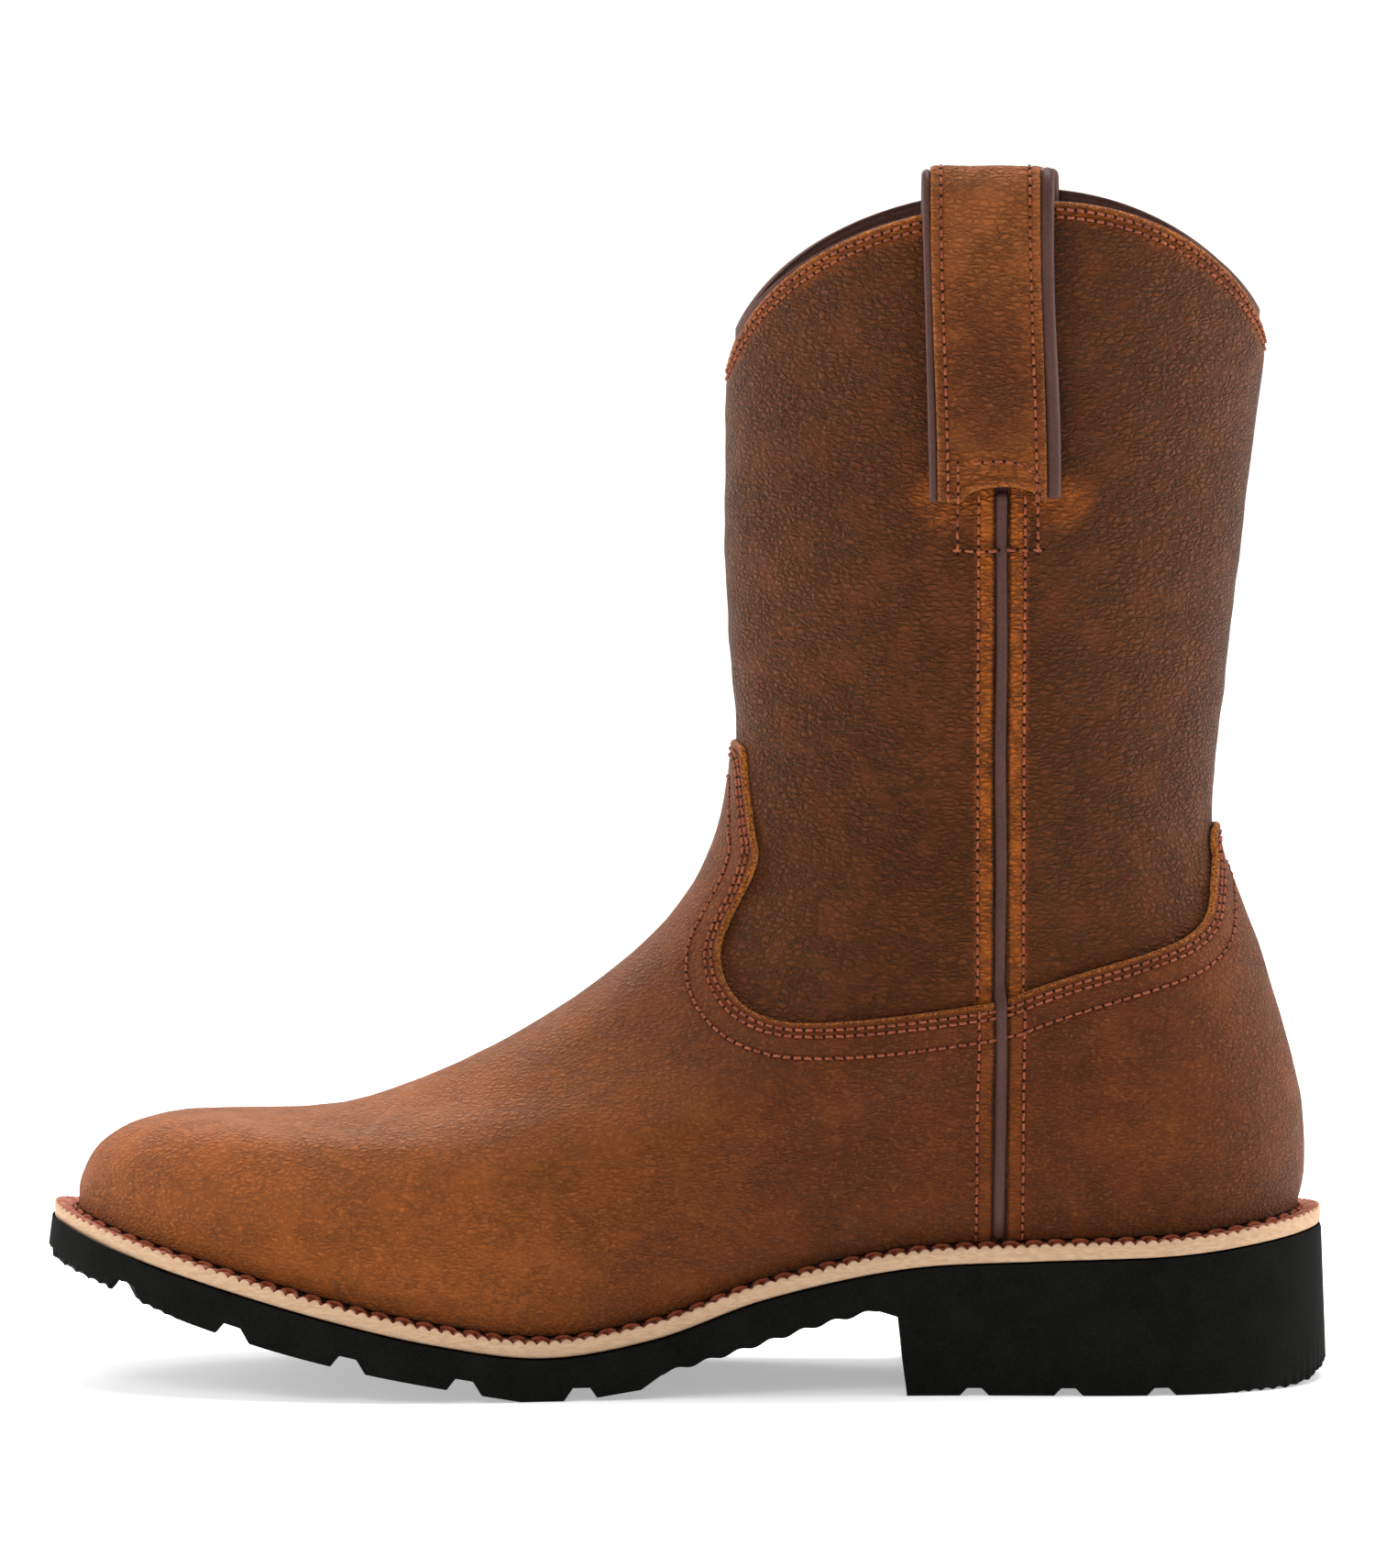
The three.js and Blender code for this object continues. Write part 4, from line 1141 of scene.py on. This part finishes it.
# %% The vamp
VAMP_ROWS = (1.9, 3.5, 8.8)
SEAM_ROW = 3.9


def dents(size, height, seed):
    return lambda flat, panel: height * waves(flat, size, seed) + 0.35 * height * waves(flat, size * 0.3, seed + 1)


def welt_line(front):
    end = float(seam_angle(np.array(0.0), SEAM_FRONT if front else SEAM_BACK))
    last_angle = 2 * np.pi - end if front else -end
    angles = np.linspace(end, last_angle, 500)
    return np.stack([angles, np.zeros_like(angles)], axis=-1)


def vamp_puff(flat, panel):
    toe = np.exp(-(((flat[..., 0] + 118) / 17) ** 2) - (np.clip(62 - flat[..., 2], 0, 99) / 9) ** 2)
    return dents(36, 0.22, 3)(flat, panel) + 1.0 * toe


vamp = Panel(
    vamp_edge,
    welt_line(True),
    LAYER_TOP,
    GAP,
    SEAM_FRONT,
    stitches=VAMP_ROWS,
    seam_stitches=(SEAM_ROW,),
    puff=vamp_puff,
)
vamp.piece("vamp_leather", foot_leather, "foot_leather", "vamp")

# %% The counter
counter = Panel(
    counter_edge,
    welt_line(False),
    LAYER_TOP,
    GAP,
    SEAM_BACK,
    stitches=VAMP_ROWS,
    seam_stitches=(SEAM_ROW,),
    puff=dents(34, 0.22, 5),
)
counter.piece("counter_leather", foot_leather, "foot_leather", "counter")

# %% The shaft
FRONT_HEM = [(-6, 90), (12, 79), (40, 77), (69.8, 79.9)]
BACK_HEM = [(81, 79.9), (90, 80), (120, 84), (150, 90)]
COLLAR_ROWS = (1.7, 3.5)


def hem(points):
    x, z = np.array(points).T
    return lambda at: np.interp(at, x, z)


def shaft_puff(flat, panel):
    return dents(42, 0.4, 11)(flat, panel) * np.clip(panel.edge_mm / 12, 0, 1)


shaft = {}
for name, front, low in (("front", True, FRONT_HEM), ("back", False, BACK_HEM)):
    panel = Panel(
        between_seams(collar_height, 0.0, front),
        between_seams(hem(low), 0.0, front),
        0.0,
        -LEATHER,
        SEAM_FRONT if front else SEAM_BACK,
        rows=90,
        stitches=COLLAR_ROWS,
        seam_stitches=(SEAM_ROW,),
        puff=shaft_puff,
    )
    panel.piece(f"shaft_{name}_leather", shaft_leather, "shaft_leather", f"shaft_{name}")
    shaft[name] = panel

# %% [markdown]
# ## Linings
#
# The lining is the only part of the inside that shows, as a band behind the low front and back of the
# collar. It is a thinner sheet on the same last, so the panel rule makes it too, turned to face inwards.

# %% The linings
INSIDE = -LEATHER - GAP - LINING
BEHIND = -LEATHER - GAP
LINING_SPLIT = {"front": 118, "back": 112}
for name, front in (("front", True), ("back", False)):
    x = SEAM_X - 0.01 if front else SEAM_X + 0.01
    split = LINING_SPLIT[name]
    high = Panel(
        between_seams(collar_height, INSIDE, front, x),
        between_seams(lambda at: split + 0.2 + 0 * at, INSIDE, front, x),
        INSIDE,
        BEHIND,
        x,
        rows=40,
        stitches=COLLAR_ROWS,
    )
    high.piece(f"shaft_lining_{name}_sheet", lining_leather, "shaft_lining", f"shaft_lining_{name}")
    bottom = welt_line(front)
    low = Panel(
        between_seams(lambda at: split - 0.2 + 0 * at, INSIDE, front, x), bottom, INSIDE, BEHIND, x, rows=40
    )
    node = "vamp_lining" if front else "heel_lining"
    low.piece(node + "_sheet", foot_textile, "foot_lining", node)

# %% [markdown]
# ## Sweeps
#
# Piping, cord and welt are one section carried along a line. A tube takes its two cross directions from the
# line and from the leather's outward direction, so it never twists.

# %% Tubes
def tube(name, line, radius, material, node, up, flat=1.0, sides=14):
    """A round cord along a line of points, closed at both ends by a rounded tip."""
    along = np.gradient(line, axis=0)
    along /= np.linalg.norm(along, axis=1, keepdims=True)
    side = np.cross(along, up)
    side /= np.linalg.norm(side, axis=1, keepdims=True)
    up = np.cross(side, along)
    turn = np.linspace(0, 2 * np.pi, sides, endpoint=False)
    size = np.full(len(line), radius)
    size[[0, -1]] *= 0.72
    circles = line[:, None] + size[:, None, None] * (
        np.cos(turn)[None, :, None] * side[:, None] + flat * np.sin(turn)[None, :, None] * up[:, None]
    )
    count = len(line) * sides
    points = np.concatenate([circles.reshape(-1, 3), line[:1], line[-1:]])
    faces = [grid_faces(len(line), sides, wrap=True)]
    k = np.arange(sides)
    nxt = (k + 1) % sides
    last = (len(line) - 1) * sides
    faces.append(np.stack([np.full(sides, count), nxt, k, k], axis=-1))
    faces.append(np.stack([np.full(sides, count + 1), last + k, last + nxt, last + nxt], axis=-1))
    made = add_piece(name, points, np.concatenate(faces), material)
    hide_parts(node)


# %% Side piping
PIPING_RADIUS, PIPING_STAND = 1.3, 1.0
PIPING_WIDE, PIPING_FLAT = 1.42, 0.92
ARCH_WIDTH, ARCH_HEIGHT = 18.6, 3.5


def seam_at(height, side=1):
    """Angle and v of the seam at each height."""
    low, high = np.zeros_like(height), np.ones_like(height)
    for _ in range(26):
        v = (low + high) / 2
        below = last_point(side * seam_angle(v, SEAM_X), v)[:, 2] < height
        low, high = np.where(below, v, low), np.where(below, high, v)
    return side * seam_angle(low, SEAM_X), low


def smoothstep(x, low, high):
    t = np.clip((x - low) / (high - low), 0, 1)
    return t * t * (3 - 2 * t)


for name, side in (("outer", 1), ("inner", -1)):
    foot = float(feather(np.array(SEAM_X))) + GAP
    heights = np.linspace(foot, COLLAR_HEIGHT - STRAP_DROP_OUTER + ARCH_HEIGHT - GAP, 150)
    angle, v = seam_at(heights, side)
    on_vamp = 1 - smoothstep(heights, SEAM_EDGE - 1, SEAM_EDGE + 4)
    line = layer_point(angle, v, PIPING_STAND - PIPING_RADIUS + on_vamp * (LEATHER + GAP))
    line[:, 0] += 0.12 * np.sin(heights / 9.0)
    node = f"side_piping_{name}"
    tube(node + "_leather", line, PIPING_WIDE, trim_leather, node, last_normal(angle, v), PIPING_FLAT)

# %% [markdown]
# ## Pull straps
#
# Each strap is a band of leather with a softer backing, bent over the collar and sewn down on both faces.
# Its path is drawn once, in height and in distance from the middle of the boot: up the outside, over in a
# half ellipse, and down the inside. The leather, the backing and the two edge cords all follow that path,
# each at its own distance from it.

# %% Strap path
STRAPS = {
    "outer": {"sign": 1, "x": 72.05, "rise": 5.3, "lean": 1.9},
    "inner": {"sign": -1, "x": 74.9, "rise": 2.2, "lean": 0.0},
}
STRAP_WIDTH, STRAP_LEATHER, STRAP_BACKING = 26, 2.0, 1.2
STRAP_FACE = STRAP_BACKING + GAP / 2 + STRAP_LEATHER
STRAP_DROP_INNER = 40
EDGE_ROW = 2.4  # the strap's stitches, from its edge
CORD_RADIUS = 1.4
# the cord along each edge: on which side it lies, how thick it is, how round it is
STRAP_CORDS = {"front": (-1, 1.15, 1), "back": (1, 1.85, 0.85)}
INNER_GAP = GAP + 2.6


def wall_at(heights):
    angle, v = seam_at(np.atleast_1d(np.asarray(heights, float)))
    return -last_point(angle, v)[:, 1]


def strap_path(rise):
    face = -LEATHER - GAP - LINING - INNER_GAP
    low = COLLAR_HEIGHT - 1.5
    outer_z = np.linspace(COLLAR_HEIGHT - STRAP_DROP_OUTER, low - 3, 130)
    inner_z = np.linspace(low - 3, COLLAR_HEIGHT - STRAP_DROP_INNER, 70)
    width = float(wall_at(COLLAR_HEIGHT)[0])
    turn = np.linspace(0, np.pi, 60)
    over = np.stack(
        [width + (GAP + face) / 2 + (GAP - face) / 2 * np.cos(turn), low + (rise + 1.5) * np.sin(turn)], axis=-1
    )
    path = np.concatenate(
        [
            np.stack([wall_at(outer_z) + GAP, outer_z], axis=-1),
            over,
            np.stack([wall_at(inner_z) + face, inner_z], axis=-1),
        ]
    )
    for _ in range(6):
        path[1:-1] = (path[:-2] + 2 * path[1:-1] + path[2:]) / 4
    return path, lengths_along(path)


def strap_point(strap, far, x, offset):
    """A point of a strap at a length along its path, a place across it and a distance off it."""
    path, lengths = strap["path"]
    step = 0.8
    at, before, after = (read_at(far + d, lengths, path) for d in (0, -step, step))
    ahead = after - before
    ahead /= np.linalg.norm(ahead, axis=-1, keepdims=True)
    out = np.stack([ahead[..., 1], -ahead[..., 0]], axis=-1)
    height = at[..., 1]
    down = smoothstep(-height, -(COLLAR_HEIGHT - 4), -(COLLAR_HEIGHT - 22))
    curve = (x**2) / 184 * (0.25 + 0.75 * down)
    across = at[..., 0] + out[..., 0] * offset - curve
    slope = strap["lean"] * smoothstep(-height, -COLLAR_HEIGHT, -(COLLAR_HEIGHT - STRAP_DROP_OUTER))
    return np.stack(
        [strap["x"] - strap["lean"] / 2 + slope + x, -strap["sign"] * across, height + out[..., 1] * offset], axis=-1
    )


# %% Strap bands
def strap_sheet(name, strap, low, high, material, node, stitched):
    path, lengths = strap["path"]
    across = np.linspace(-1, 1, 45)
    x = STRAP_WIDTH / 2 * np.sign(across) * np.abs(across) ** 0.8
    foot_x = strap["x"] + strap["lean"] / 2 + x - SEAM_X
    arch = FOOT_TRIM + np.sqrt(np.clip(1 - (foot_x / (ARCH_WIDTH / 2)) ** 2, 0, 1)) * ARCH_HEIGHT
    share = np.concatenate([np.linspace(0, 0.08, 30)[:-1], np.linspace(0.08, 0.93, 220)[:-1], np.linspace(0.93, 1, 30)])
    far = arch[None, :] + (lengths[-1] - arch[None, :]) * share[:, None]
    grid_x = np.broadcast_to(x, far.shape)
    flat = strap_point(strap, far, grid_x, high)
    border = np.concatenate([dense(flat[0]), dense(flat[:, -1]), dense(flat[-1]), dense(flat[:, 0])])
    edge = nearest(flat, border)
    lift = -0.45 * np.clip(1 - edge / 0.9, 0, 1) ** 2
    if stitched:
        lift -= 0.22 * np.exp(-(((edge - EDGE_ROW) / 0.6) ** 2))
        bumps = waves(flat, 22, 31) * 0.18
        levels = np.sin(flat[..., 2] * 1.15 + 1.5 * waves(flat, 30, 33)) * 0.1
        lift += (bumps + levels * smoothstep(waves(flat, 35, 35), -0.2, 0.9)) * np.clip(edge / 3, 0, 1)
    top = strap_point(strap, far, grid_x, high + lift)
    under = strap_point(strap, far, grid_x, np.full_like(far, low))
    sewn = np.exp(-(((edge - EDGE_ROW) / 0.65) ** 2))
    marks = {"edge_mm": edge, "seam_mm": np.full_like(edge, 60.0), "sewn": sewn}
    sheet_piece(name, top, under, marks, material, node)


for name, strap in STRAPS.items():
    strap["path"] = strap_path(strap["rise"])
    low = STRAP_BACKING + GAP / 2
    backing_node, band_node = f"pull_strap_backing_{name}", f"pull_strap_{name}"
    strap_sheet(
        f"strap_backing_{name}", strap, 0.0, STRAP_BACKING, trim_leather, backing_node, False
    )
    strap_sheet(
        f"strap_leather_{name}", strap, low, STRAP_FACE, strap_leather, band_node, True
    )
    length = strap["path"][1][-1]
    for word, (end, radius, flat) in STRAP_CORDS.items():
        far = np.linspace(FOOT_TRIM + 0.5 * end, length, 260)
        x = np.full_like(far, end * (STRAP_WIDTH / 2 + radius - 0.25))
        line = strap_point(strap, far, x, np.full_like(far, CORD_RADIUS))
        line[:, 0] += end * 0.15 * np.sin(far / 11)
        out = strap_point(strap, far, x, np.full_like(far, CORD_RADIUS + 1)) - line
        node = f"strap_cord_{word}_{name}"
        tube(node + "_cord", line, radius, trim_leather, node, out, flat)

# %% Strap stitches
def strap_line(strap, far, x):
    """A line on the strap's face, from lengths along it and places across it, and its outward directions."""
    line = strap_point(strap, far, x, np.full_like(far, STRAP_FACE))
    return line, strap_point(strap, far, x, np.full_like(far, STRAP_FACE + 1)) - line


def strap_row(strap, near, x):
    """A line along the strap at a place across it, from one foot to the other."""
    far = np.linspace(near, strap["path"][1][-1] - EDGE_ROW, 300)
    return strap_line(strap, far, np.full_like(far, x))


BOX_LEFT, BOX_RIGHT, BOX_DROP = -10.6, 8.6, 12.2


def on_strap(strap, points, steps=70):
    """A row on the strap from drawn points: distance from the seam, height over the strap's foot."""
    drawn = smooth_line(points, steps)
    x = SEAM_X + drawn[:, 0] - strap["x"] - strap["lean"] / 2
    return strap_line(strap, FOOT_TRIM + drawn[:, 1], x)


for name, strap in STRAPS.items():
    side_x = STRAP_WIDTH / 2 - EDGE_ROW
    rows = [strap_row(strap, FOOT_TRIM + 0.8, -side_x), strap_row(strap, FOOT_TRIM + 0.8, side_x)]
    rows.append(on_strap(strap, [(BOX_LEFT, 0.5), (BOX_LEFT, 4), (BOX_LEFT, 8)]))
    bow = [(-6, 9.2), (-1, 9.6), (3.2, 9.2), (6.8, 7.2), (8.7, 3.6), (BOX_RIGHT, 0.5)]
    rows.append(on_strap(strap, bow))
    x = np.linspace(-side_x, side_x, 60)
    rows.append(strap_line(strap, np.full_like(x, strap["path"][1][-1] - EDGE_ROW), x))
    sew(f"strap_stitches_{name}", rows, seed=7)

# %% [markdown]
# ## Upper stitches
#
# The rows follow the cut edges at fixed distances. The panel already knows each point's distance from its
# edge, so a row is simply the line where that distance is constant.

# %% Upper stitches
sew("vamp_stitches", [vamp.row(d) for d in VAMP_ROWS], seed=2)
sew("counter_stitches", [counter.row(d) for d in VAMP_ROWS], seed=3)


def on_shaft(points, side, lift, steps=60):
    """A row on the shaft from drawn points: distance from the seam, height from the strap's foot."""
    drawn = smooth_line(points, steps)
    at = find_on_last(np.column_stack([SEAM_X + drawn[:, 0], STRAP_FOOT + drawn[:, 1]]), 0.0, side)
    at[:, 0] *= side
    lift = lift + dents(42, 0.4, 11)(layer_point(*at.T, 0.0), None)
    return layer_point(*at.T, lift), last_normal(*at.T)


for name, side in (("outer", 1), ("inner", -1)):
    left, right = ([(x, 0.5), (x, -6), (x, -BOX_DROP + 0.4)] for x in (BOX_LEFT, BOX_RIGHT))
    rows = [on_shaft(left, side, 0.2), on_shaft(right, side, 0.2)]
    rows.append(on_shaft([(BOX_LEFT, -BOX_DROP), (-5, -BOX_DROP - 0.3), (-2.2, -BOX_DROP)], side, 0.2))
    rows.append(on_shaft([(2.2, -BOX_DROP + 0.2), (5, -BOX_DROP), (BOX_RIGHT, -BOX_DROP)], side, 0.2))
    rows.append(on_shaft([(-2.2, -BOX_DROP), (0, -BOX_DROP + 0.1), (2.2, -BOX_DROP + 0.2)], side, 1.25))
    sew(f"strap_box_stitches_{name}", rows, seed=12)

for name, panel in shaft.items():
    low = SEAM_EDGE + 1.5
    rows = [panel.seam_row(SEAM_ROW, side, low, STRAP_FOOT + 1) for side in (1, -1)]
    rows += [panel.row(d, 0.02, 0.98) for d in COLLAR_ROWS]
    sew(f"shaft_{name}_stitches", rows, seed=4)
for name, panel in (("vamp", vamp), ("counter", counter)):
    rows = [panel.seam_row(SEAM_ROW, side, 34, SEAM_EDGE - 2.5) for side in (1, -1)]
    sew(f"{name}_seam_stitches", rows, seed=6)

# %% [markdown]
# ## The welt
#
# The welt is a strip of leather round the foot, sewn to the upper on its inner side and to the sole below.
# A toothed wheel has been run along its top, which leaves fine grooves and a scalloped rim. One section is
# carried round the foot's plan in equal steps, and a wave in its height cuts the grooves and the scallops.

# %% Foot plan
WELT_REACH, SOLE_FLARE, TOE_LEAN = 5.8, 1.8, 4.0
WELTED = LEATHER + GAP + WELT_REACH
HALF_LENGTH = 146.6


def foot_plan(angles, offset):
    """The plan of the upper at the welt moved outwards; x and y."""
    before, after = last_point(angles - 0.01, 0.0), last_point(angles + 0.01, 0.0)
    out = np.stack([before[:, 1] - after[:, 1], after[:, 0] - before[:, 0]], axis=-1)
    out /= np.linalg.norm(out, axis=1, keepdims=True)
    return last_point(angles, 0.0)[:, :2] + out * np.asarray(offset, float)[..., None]


def even_angles(offset, step):
    angles = np.linspace(0, 2 * np.pi, 6001)
    far = lengths_along(foot_plan(angles, offset))
    count = int(far[-1] / step)
    return np.interp(np.linspace(0, far[-1], count, endpoint=False), far, angles), far[-1]


# %% Welt
WHEEL_PITCH = 2.9
WELT_STEP = 0.48
angles, around = even_angles(WELTED, WELT_STEP)
teeth = round(around / WHEEL_PITCH)
phase = np.linspace(0, 2 * np.pi * teeth, len(angles), endpoint=False)
tooth = np.abs(np.sin(phase / 2)) ** 0.7
rng = np.random.default_rng(8)
worn = 1 + 0.25 * np.sin(np.cumsum(rng.normal(size=len(angles))) * 0.12)
WELT_TOP = GAP + WELT_THICKNESS
# reach from the last, height above the sole, share of the tooth's depth, share that is the top face
SECTION = [
    (-3.2, GAP, 0, 0),
    (-3.2, WELT_TOP - 0.1, 0, 1),
    (1.6, WELT_TOP - 0.1, 0, 1),
    (2.9, WELT_TOP - 0.25, 0.1, 1),
    (3.7, WELT_TOP - 0.1, 0.8, 1),
    (4.8, WELT_TOP + 0.0, 1, 1),
    (6.1, WELT_TOP + 0.05, 1, 1),
    (7.1, WELT_TOP + 0.1, 1, 1),
    (7.8, WELT_TOP + 0.05, 1, 0.5),
    (8.0, WELT_TOP - 0.25, 0.95, 0),
    (8.05, WELT_TOP - 1.5, 0.1, 0),
    (8.05, 2.0, 0, 0),
    (8.0, 1.0, 0, 0),
    (7.8, 0.55, 0, 0),
    (7.2, GAP, 0, 0),
]
columns = []
marks = {"top": [], "mark": []}
for reach, height, depth, top in SECTION:
    plan = foot_plan(angles, np.full(len(angles), reach))
    z = sole_top(plan[:, 0]) + height - 1.0 * depth * (1 - tooth) * worn
    columns.append(np.column_stack([plan, z]))
    marks["top"].append(np.full(len(angles), float(top)))
    marks["mark"].append(depth * (1 - tooth))
grid = np.array(columns)
rows, count = grid.shape[:2]
faces = grid_faces(rows, count, wrap=True)
j = np.arange(count)
closing = np.stack([(rows - 1) * count + j, (rows - 1) * count + (j + 1) % count, (j + 1) % count, j], axis=-1)
welt = add_piece(
    "welt_strip",
    grid.reshape(-1, 3),
    np.concatenate([faces, closing]),
    welt_leather,
    {key: np.concatenate(value) for key, value in marks.items()},
)
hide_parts("welt")
print("welt teeth:", teeth, "faces:", len(welt.data.polygons))

# %% Welt stitches
stitch_angles, _ = even_angles(3.0, 1.4)
plan = foot_plan(stitch_angles, np.full(len(stitch_angles), 3.15))
line = np.column_stack([plan, sole_top(plan[:, 0]) + WELT_TOP + 0.15])
up = np.zeros_like(line)
up[:, 2] = 1
sew("welt_stitches", [(line, up)], 9, pitch=5.6, thick=1.25, material=welt_thread, closed=True)

# %% [markdown]
# ## The outsole
#
# The outsole is one block of rubber. From the side it has a toe spring, a flat under the ball, a rippled
# arch and a heel with a straight breast, and lugs cut across it. Its sections are stacked from heel to toe:
# each goes down one wall, across the underside and up the other wall, and its depth is read from the side
# profile. That gives every edge a true line without cutting one solid from another.

# %% Sole profile from the side
SOLE_END = HALF_LENGTH + WELTED + SOLE_FLARE
FLAT_START = -30  # the underside is flat from here to the heel
TOE_SPRING = [(-155, 29.5), (-142.9, 25), (-121, 18), (-98.9, 11.8), (-76.7, 6.7), (-54.7, 2.6), (-40, 0)]
ARCH = [(-6.4, 5.6), (11.2, 10.5), (22.3, 13.9), (33.3, 17.2), (46.5, 20.4)]
RIPPLE_PITCH, RIPPLE_HEIGHT = 7.6, 0.9
front_curve = smooth_line(TOE_SPRING, 60)
arch_curve = smooth_line(ARCH, 90)
ripple = 0.5 - 0.5 * np.cos((arch_curve[:, 0] - ARCH[0][0]) / RIPPLE_PITCH * 2 * np.pi)
arch_curve[:, 1] += RIPPLE_HEIGHT * ripple
profile = np.concatenate(
    [
        [(-SOLE_END - 6, 33)],
        front_curve,
        [(-26, 0), (-11, 2.3)],
        arch_curve,
        [(51, 19), (53, 0), (SOLE_END - 9, 0), (SOLE_END - 4, 0.9), (SOLE_END + 1, 4.5)],
    ]
)
SERRATION_PITCH = 3.1
# Each notch between two lugs: where it lies, how wide its mouth is, how deep it is.
FRONT_NOTCHES = [(-25.4 - i * 28.2, 8.5, 3.1) for i in range(5)]
HEEL_NOTCHES = [(69.3 + i * 22.7, 7.0, 1.8) for i in range(3)]


def sole_bottom(x):
    z = np.interp(x, profile[:, 0], profile[:, 1])
    for at, mouth, depth in FRONT_NOTCHES + HEEL_NOTCHES:
        base = np.interp(x, front_curve[:, 0], front_curve[:, 1]) if at < FLAT_START else 0
        rise = np.interp(np.abs(x - at), [mouth / 4, mouth / 2], [depth, 0])
        z = np.maximum(z, base + rise)
    ends = smoothstep(-x, 122, 132) + smoothstep(x, 128, 140)
    return z + 0.55 * ends * np.abs(np.sin(np.pi * x / SERRATION_PITCH))


# %% Outsole sections
OUTSOLE_STATIONS = 1100
station = np.linspace(0, np.pi, OUTSOLE_STATIONS)
station = station + 0.16 * np.sin(2 * station)


def close_ends(piece):
    """Merges the points that meet at each end of a row of sections, and fills what stays open."""
    shell = bmesh.new()
    shell.from_mesh(piece.data)
    bmesh.ops.remove_doubles(shell, verts=shell.verts, dist=1e-6)
    bmesh.ops.holes_fill(shell, edges=[e for e in shell.edges if e.is_boundary], sides=0)
    shell.to_mesh(piece.data)
    shell.free()


SOLE_DEPTH = 45  # the wall flares and the toe leans over this height


def wall_plan(side, share, inset=0, notch=0):
    """Plan of the sole's wall at a share of its depth, from the ground (0) to the welt (1)."""
    plan = foot_plan(side * station, WELTED + SOLE_FLARE * (1 - share) - inset - notch)
    plan[:, 0] -= TOE_LEAN * (1 - share) * smoothstep(-plan[:, 0], 0.8 * HALF_LENGTH, HALF_LENGTH)
    return plan


# each line of the wall: share of its height, rise over that, how far it lies inside, share of the serration
WALL = [
    (0, 0, 0.9, 1),
    (0, 0.25, 0.25, 1),
    (0.02, 0, 0, 1),
    (0.05, 0, 0, 0.8),
    (0.1, 0, 0, 0),
    (0.3, 0, 0, 0),
    (0.7, 0, 0, 0),
    (0.96, 0, 0, 0),
    (1, 0, 0.3, 0),
]


def outsole_wall(side):
    foot = wall_plan(side, np.zeros(len(station)))
    low = sole_bottom(foot[:, 0])
    far = lengths_along(foot)
    ends = smoothstep(-foot[:, 0], 118, 132) + smoothstep(foot[:, 0], 138, 150)
    notch = 0.45 * ends * (0.5 - 0.5 * np.cos(far / SERRATION_PITCH * 2 * np.pi))
    rows = []
    high = sole_top(foot[:, 0])
    for share, rise, inset, cut in WALL:
        z = low + (high - low) * share + rise
        plan = wall_plan(side, z / SOLE_DEPTH, inset, notch * cut)
        top = sole_top(plan[:, 0]) if share == 1 else z
        rows.append(np.column_stack([plan, top]))
    return np.array(rows)


outer_wall, inner_wall = outsole_wall(1), outsole_wall(-1)
across = [outer_wall[0] * (1 - t) + inner_wall[0] * t for t in np.linspace(0, 1, 9)[1:-1]]
for row in across:
    row[:, 2] = sole_bottom(row[:, 0])
over = [inner_wall[-1] * (1 - t) + outer_wall[-1] * t for t in np.linspace(0, 1, 6)[1:-1]]
for row in over:
    row[:, 2] = sole_top(row[:, 0])
section = np.concatenate([outer_wall[::-1], across, inner_wall, over])
loops = section.transpose(1, 0, 2)
outsole = add_piece(
    "outsole_block", loops.reshape(-1, 3), grid_faces(*loops.shape[:2], wrap=True), rubber
)
close_ends(outsole)
outsole.data.set_sharp_from_angle(angle=math.radians(38))
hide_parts("outsole")
print("outsole faces:", len(outsole.data.polygons))

# %% [markdown]
# ## The footbed
#
# The footbed is a foam pad with a knitted cover, which lifts out. Its top is slightly crowned and its edge
# rolls over, as die-cut foam does, and two sewn channels cross the ball of the foot.

# %% Footbed
FOOTBED_LOW, FOOTBED_HIGH = 6.4, 12.0
FOOTBED_INSET = 4.9
FOOTBED_END = 138.9
CHANNELS = (-20, -48)  # sewn across the ball
station_f = np.linspace(0, np.pi, 260)
half = {}
for side in (1, -1):
    plan = foot_plan(side * station_f, np.full(len(station_f), -FOOTBED_INSET))
    plan[:, 0] = np.minimum(plan[:, 0], FOOTBED_END)
    half[side] = plan
turn = np.linspace(0, 2 * np.pi, 56, endpoint=False)
width = np.sign(np.cos(turn)) * np.abs(np.cos(turn)) ** 0.35
rise = np.sign(np.sin(turn)) * np.abs(np.sin(turn)) ** 0.6
middle_f = (half[1] + half[-1]) / 2
reach_f = (half[-1] - half[1]) / 2
sections = middle_f[:, None] + reach_f[:, None] * width[None, :, None]
base = sole_top(sections[..., 0])
centre_z, half_z = (FOOTBED_LOW + FOOTBED_HIGH) / 2, (FOOTBED_HIGH - FOOTBED_LOW) / 2
crown = 0.25 * (1 - width[None, :] ** 2)
channel = sum(0.5 * np.exp(-(((sections[..., 0] - x) / 1.3) ** 2)) for x in CHANNELS) * (np.abs(width) < 0.8)
top_side = rise > 0
z = base + centre_z + rise[None, :] * half_z - np.where(top_side, 0.3 - crown + channel, 0)
pad_points = np.concatenate([sections, z[..., None]], axis=-1)
cover_mark = np.broadcast_to(np.clip((rise - 0.35) * 5, 0, 1), z.shape)
pad = add_piece(
    "footbed_pad",
    pad_points.reshape(-1, 3),
    grid_faces(*z.shape, wrap=True),
    footbed_fabric,
    {"cover": cover_mark.ravel()},
    body="footbed",
)
close_ends(pad)
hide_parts("footbed", "footbed_cover")
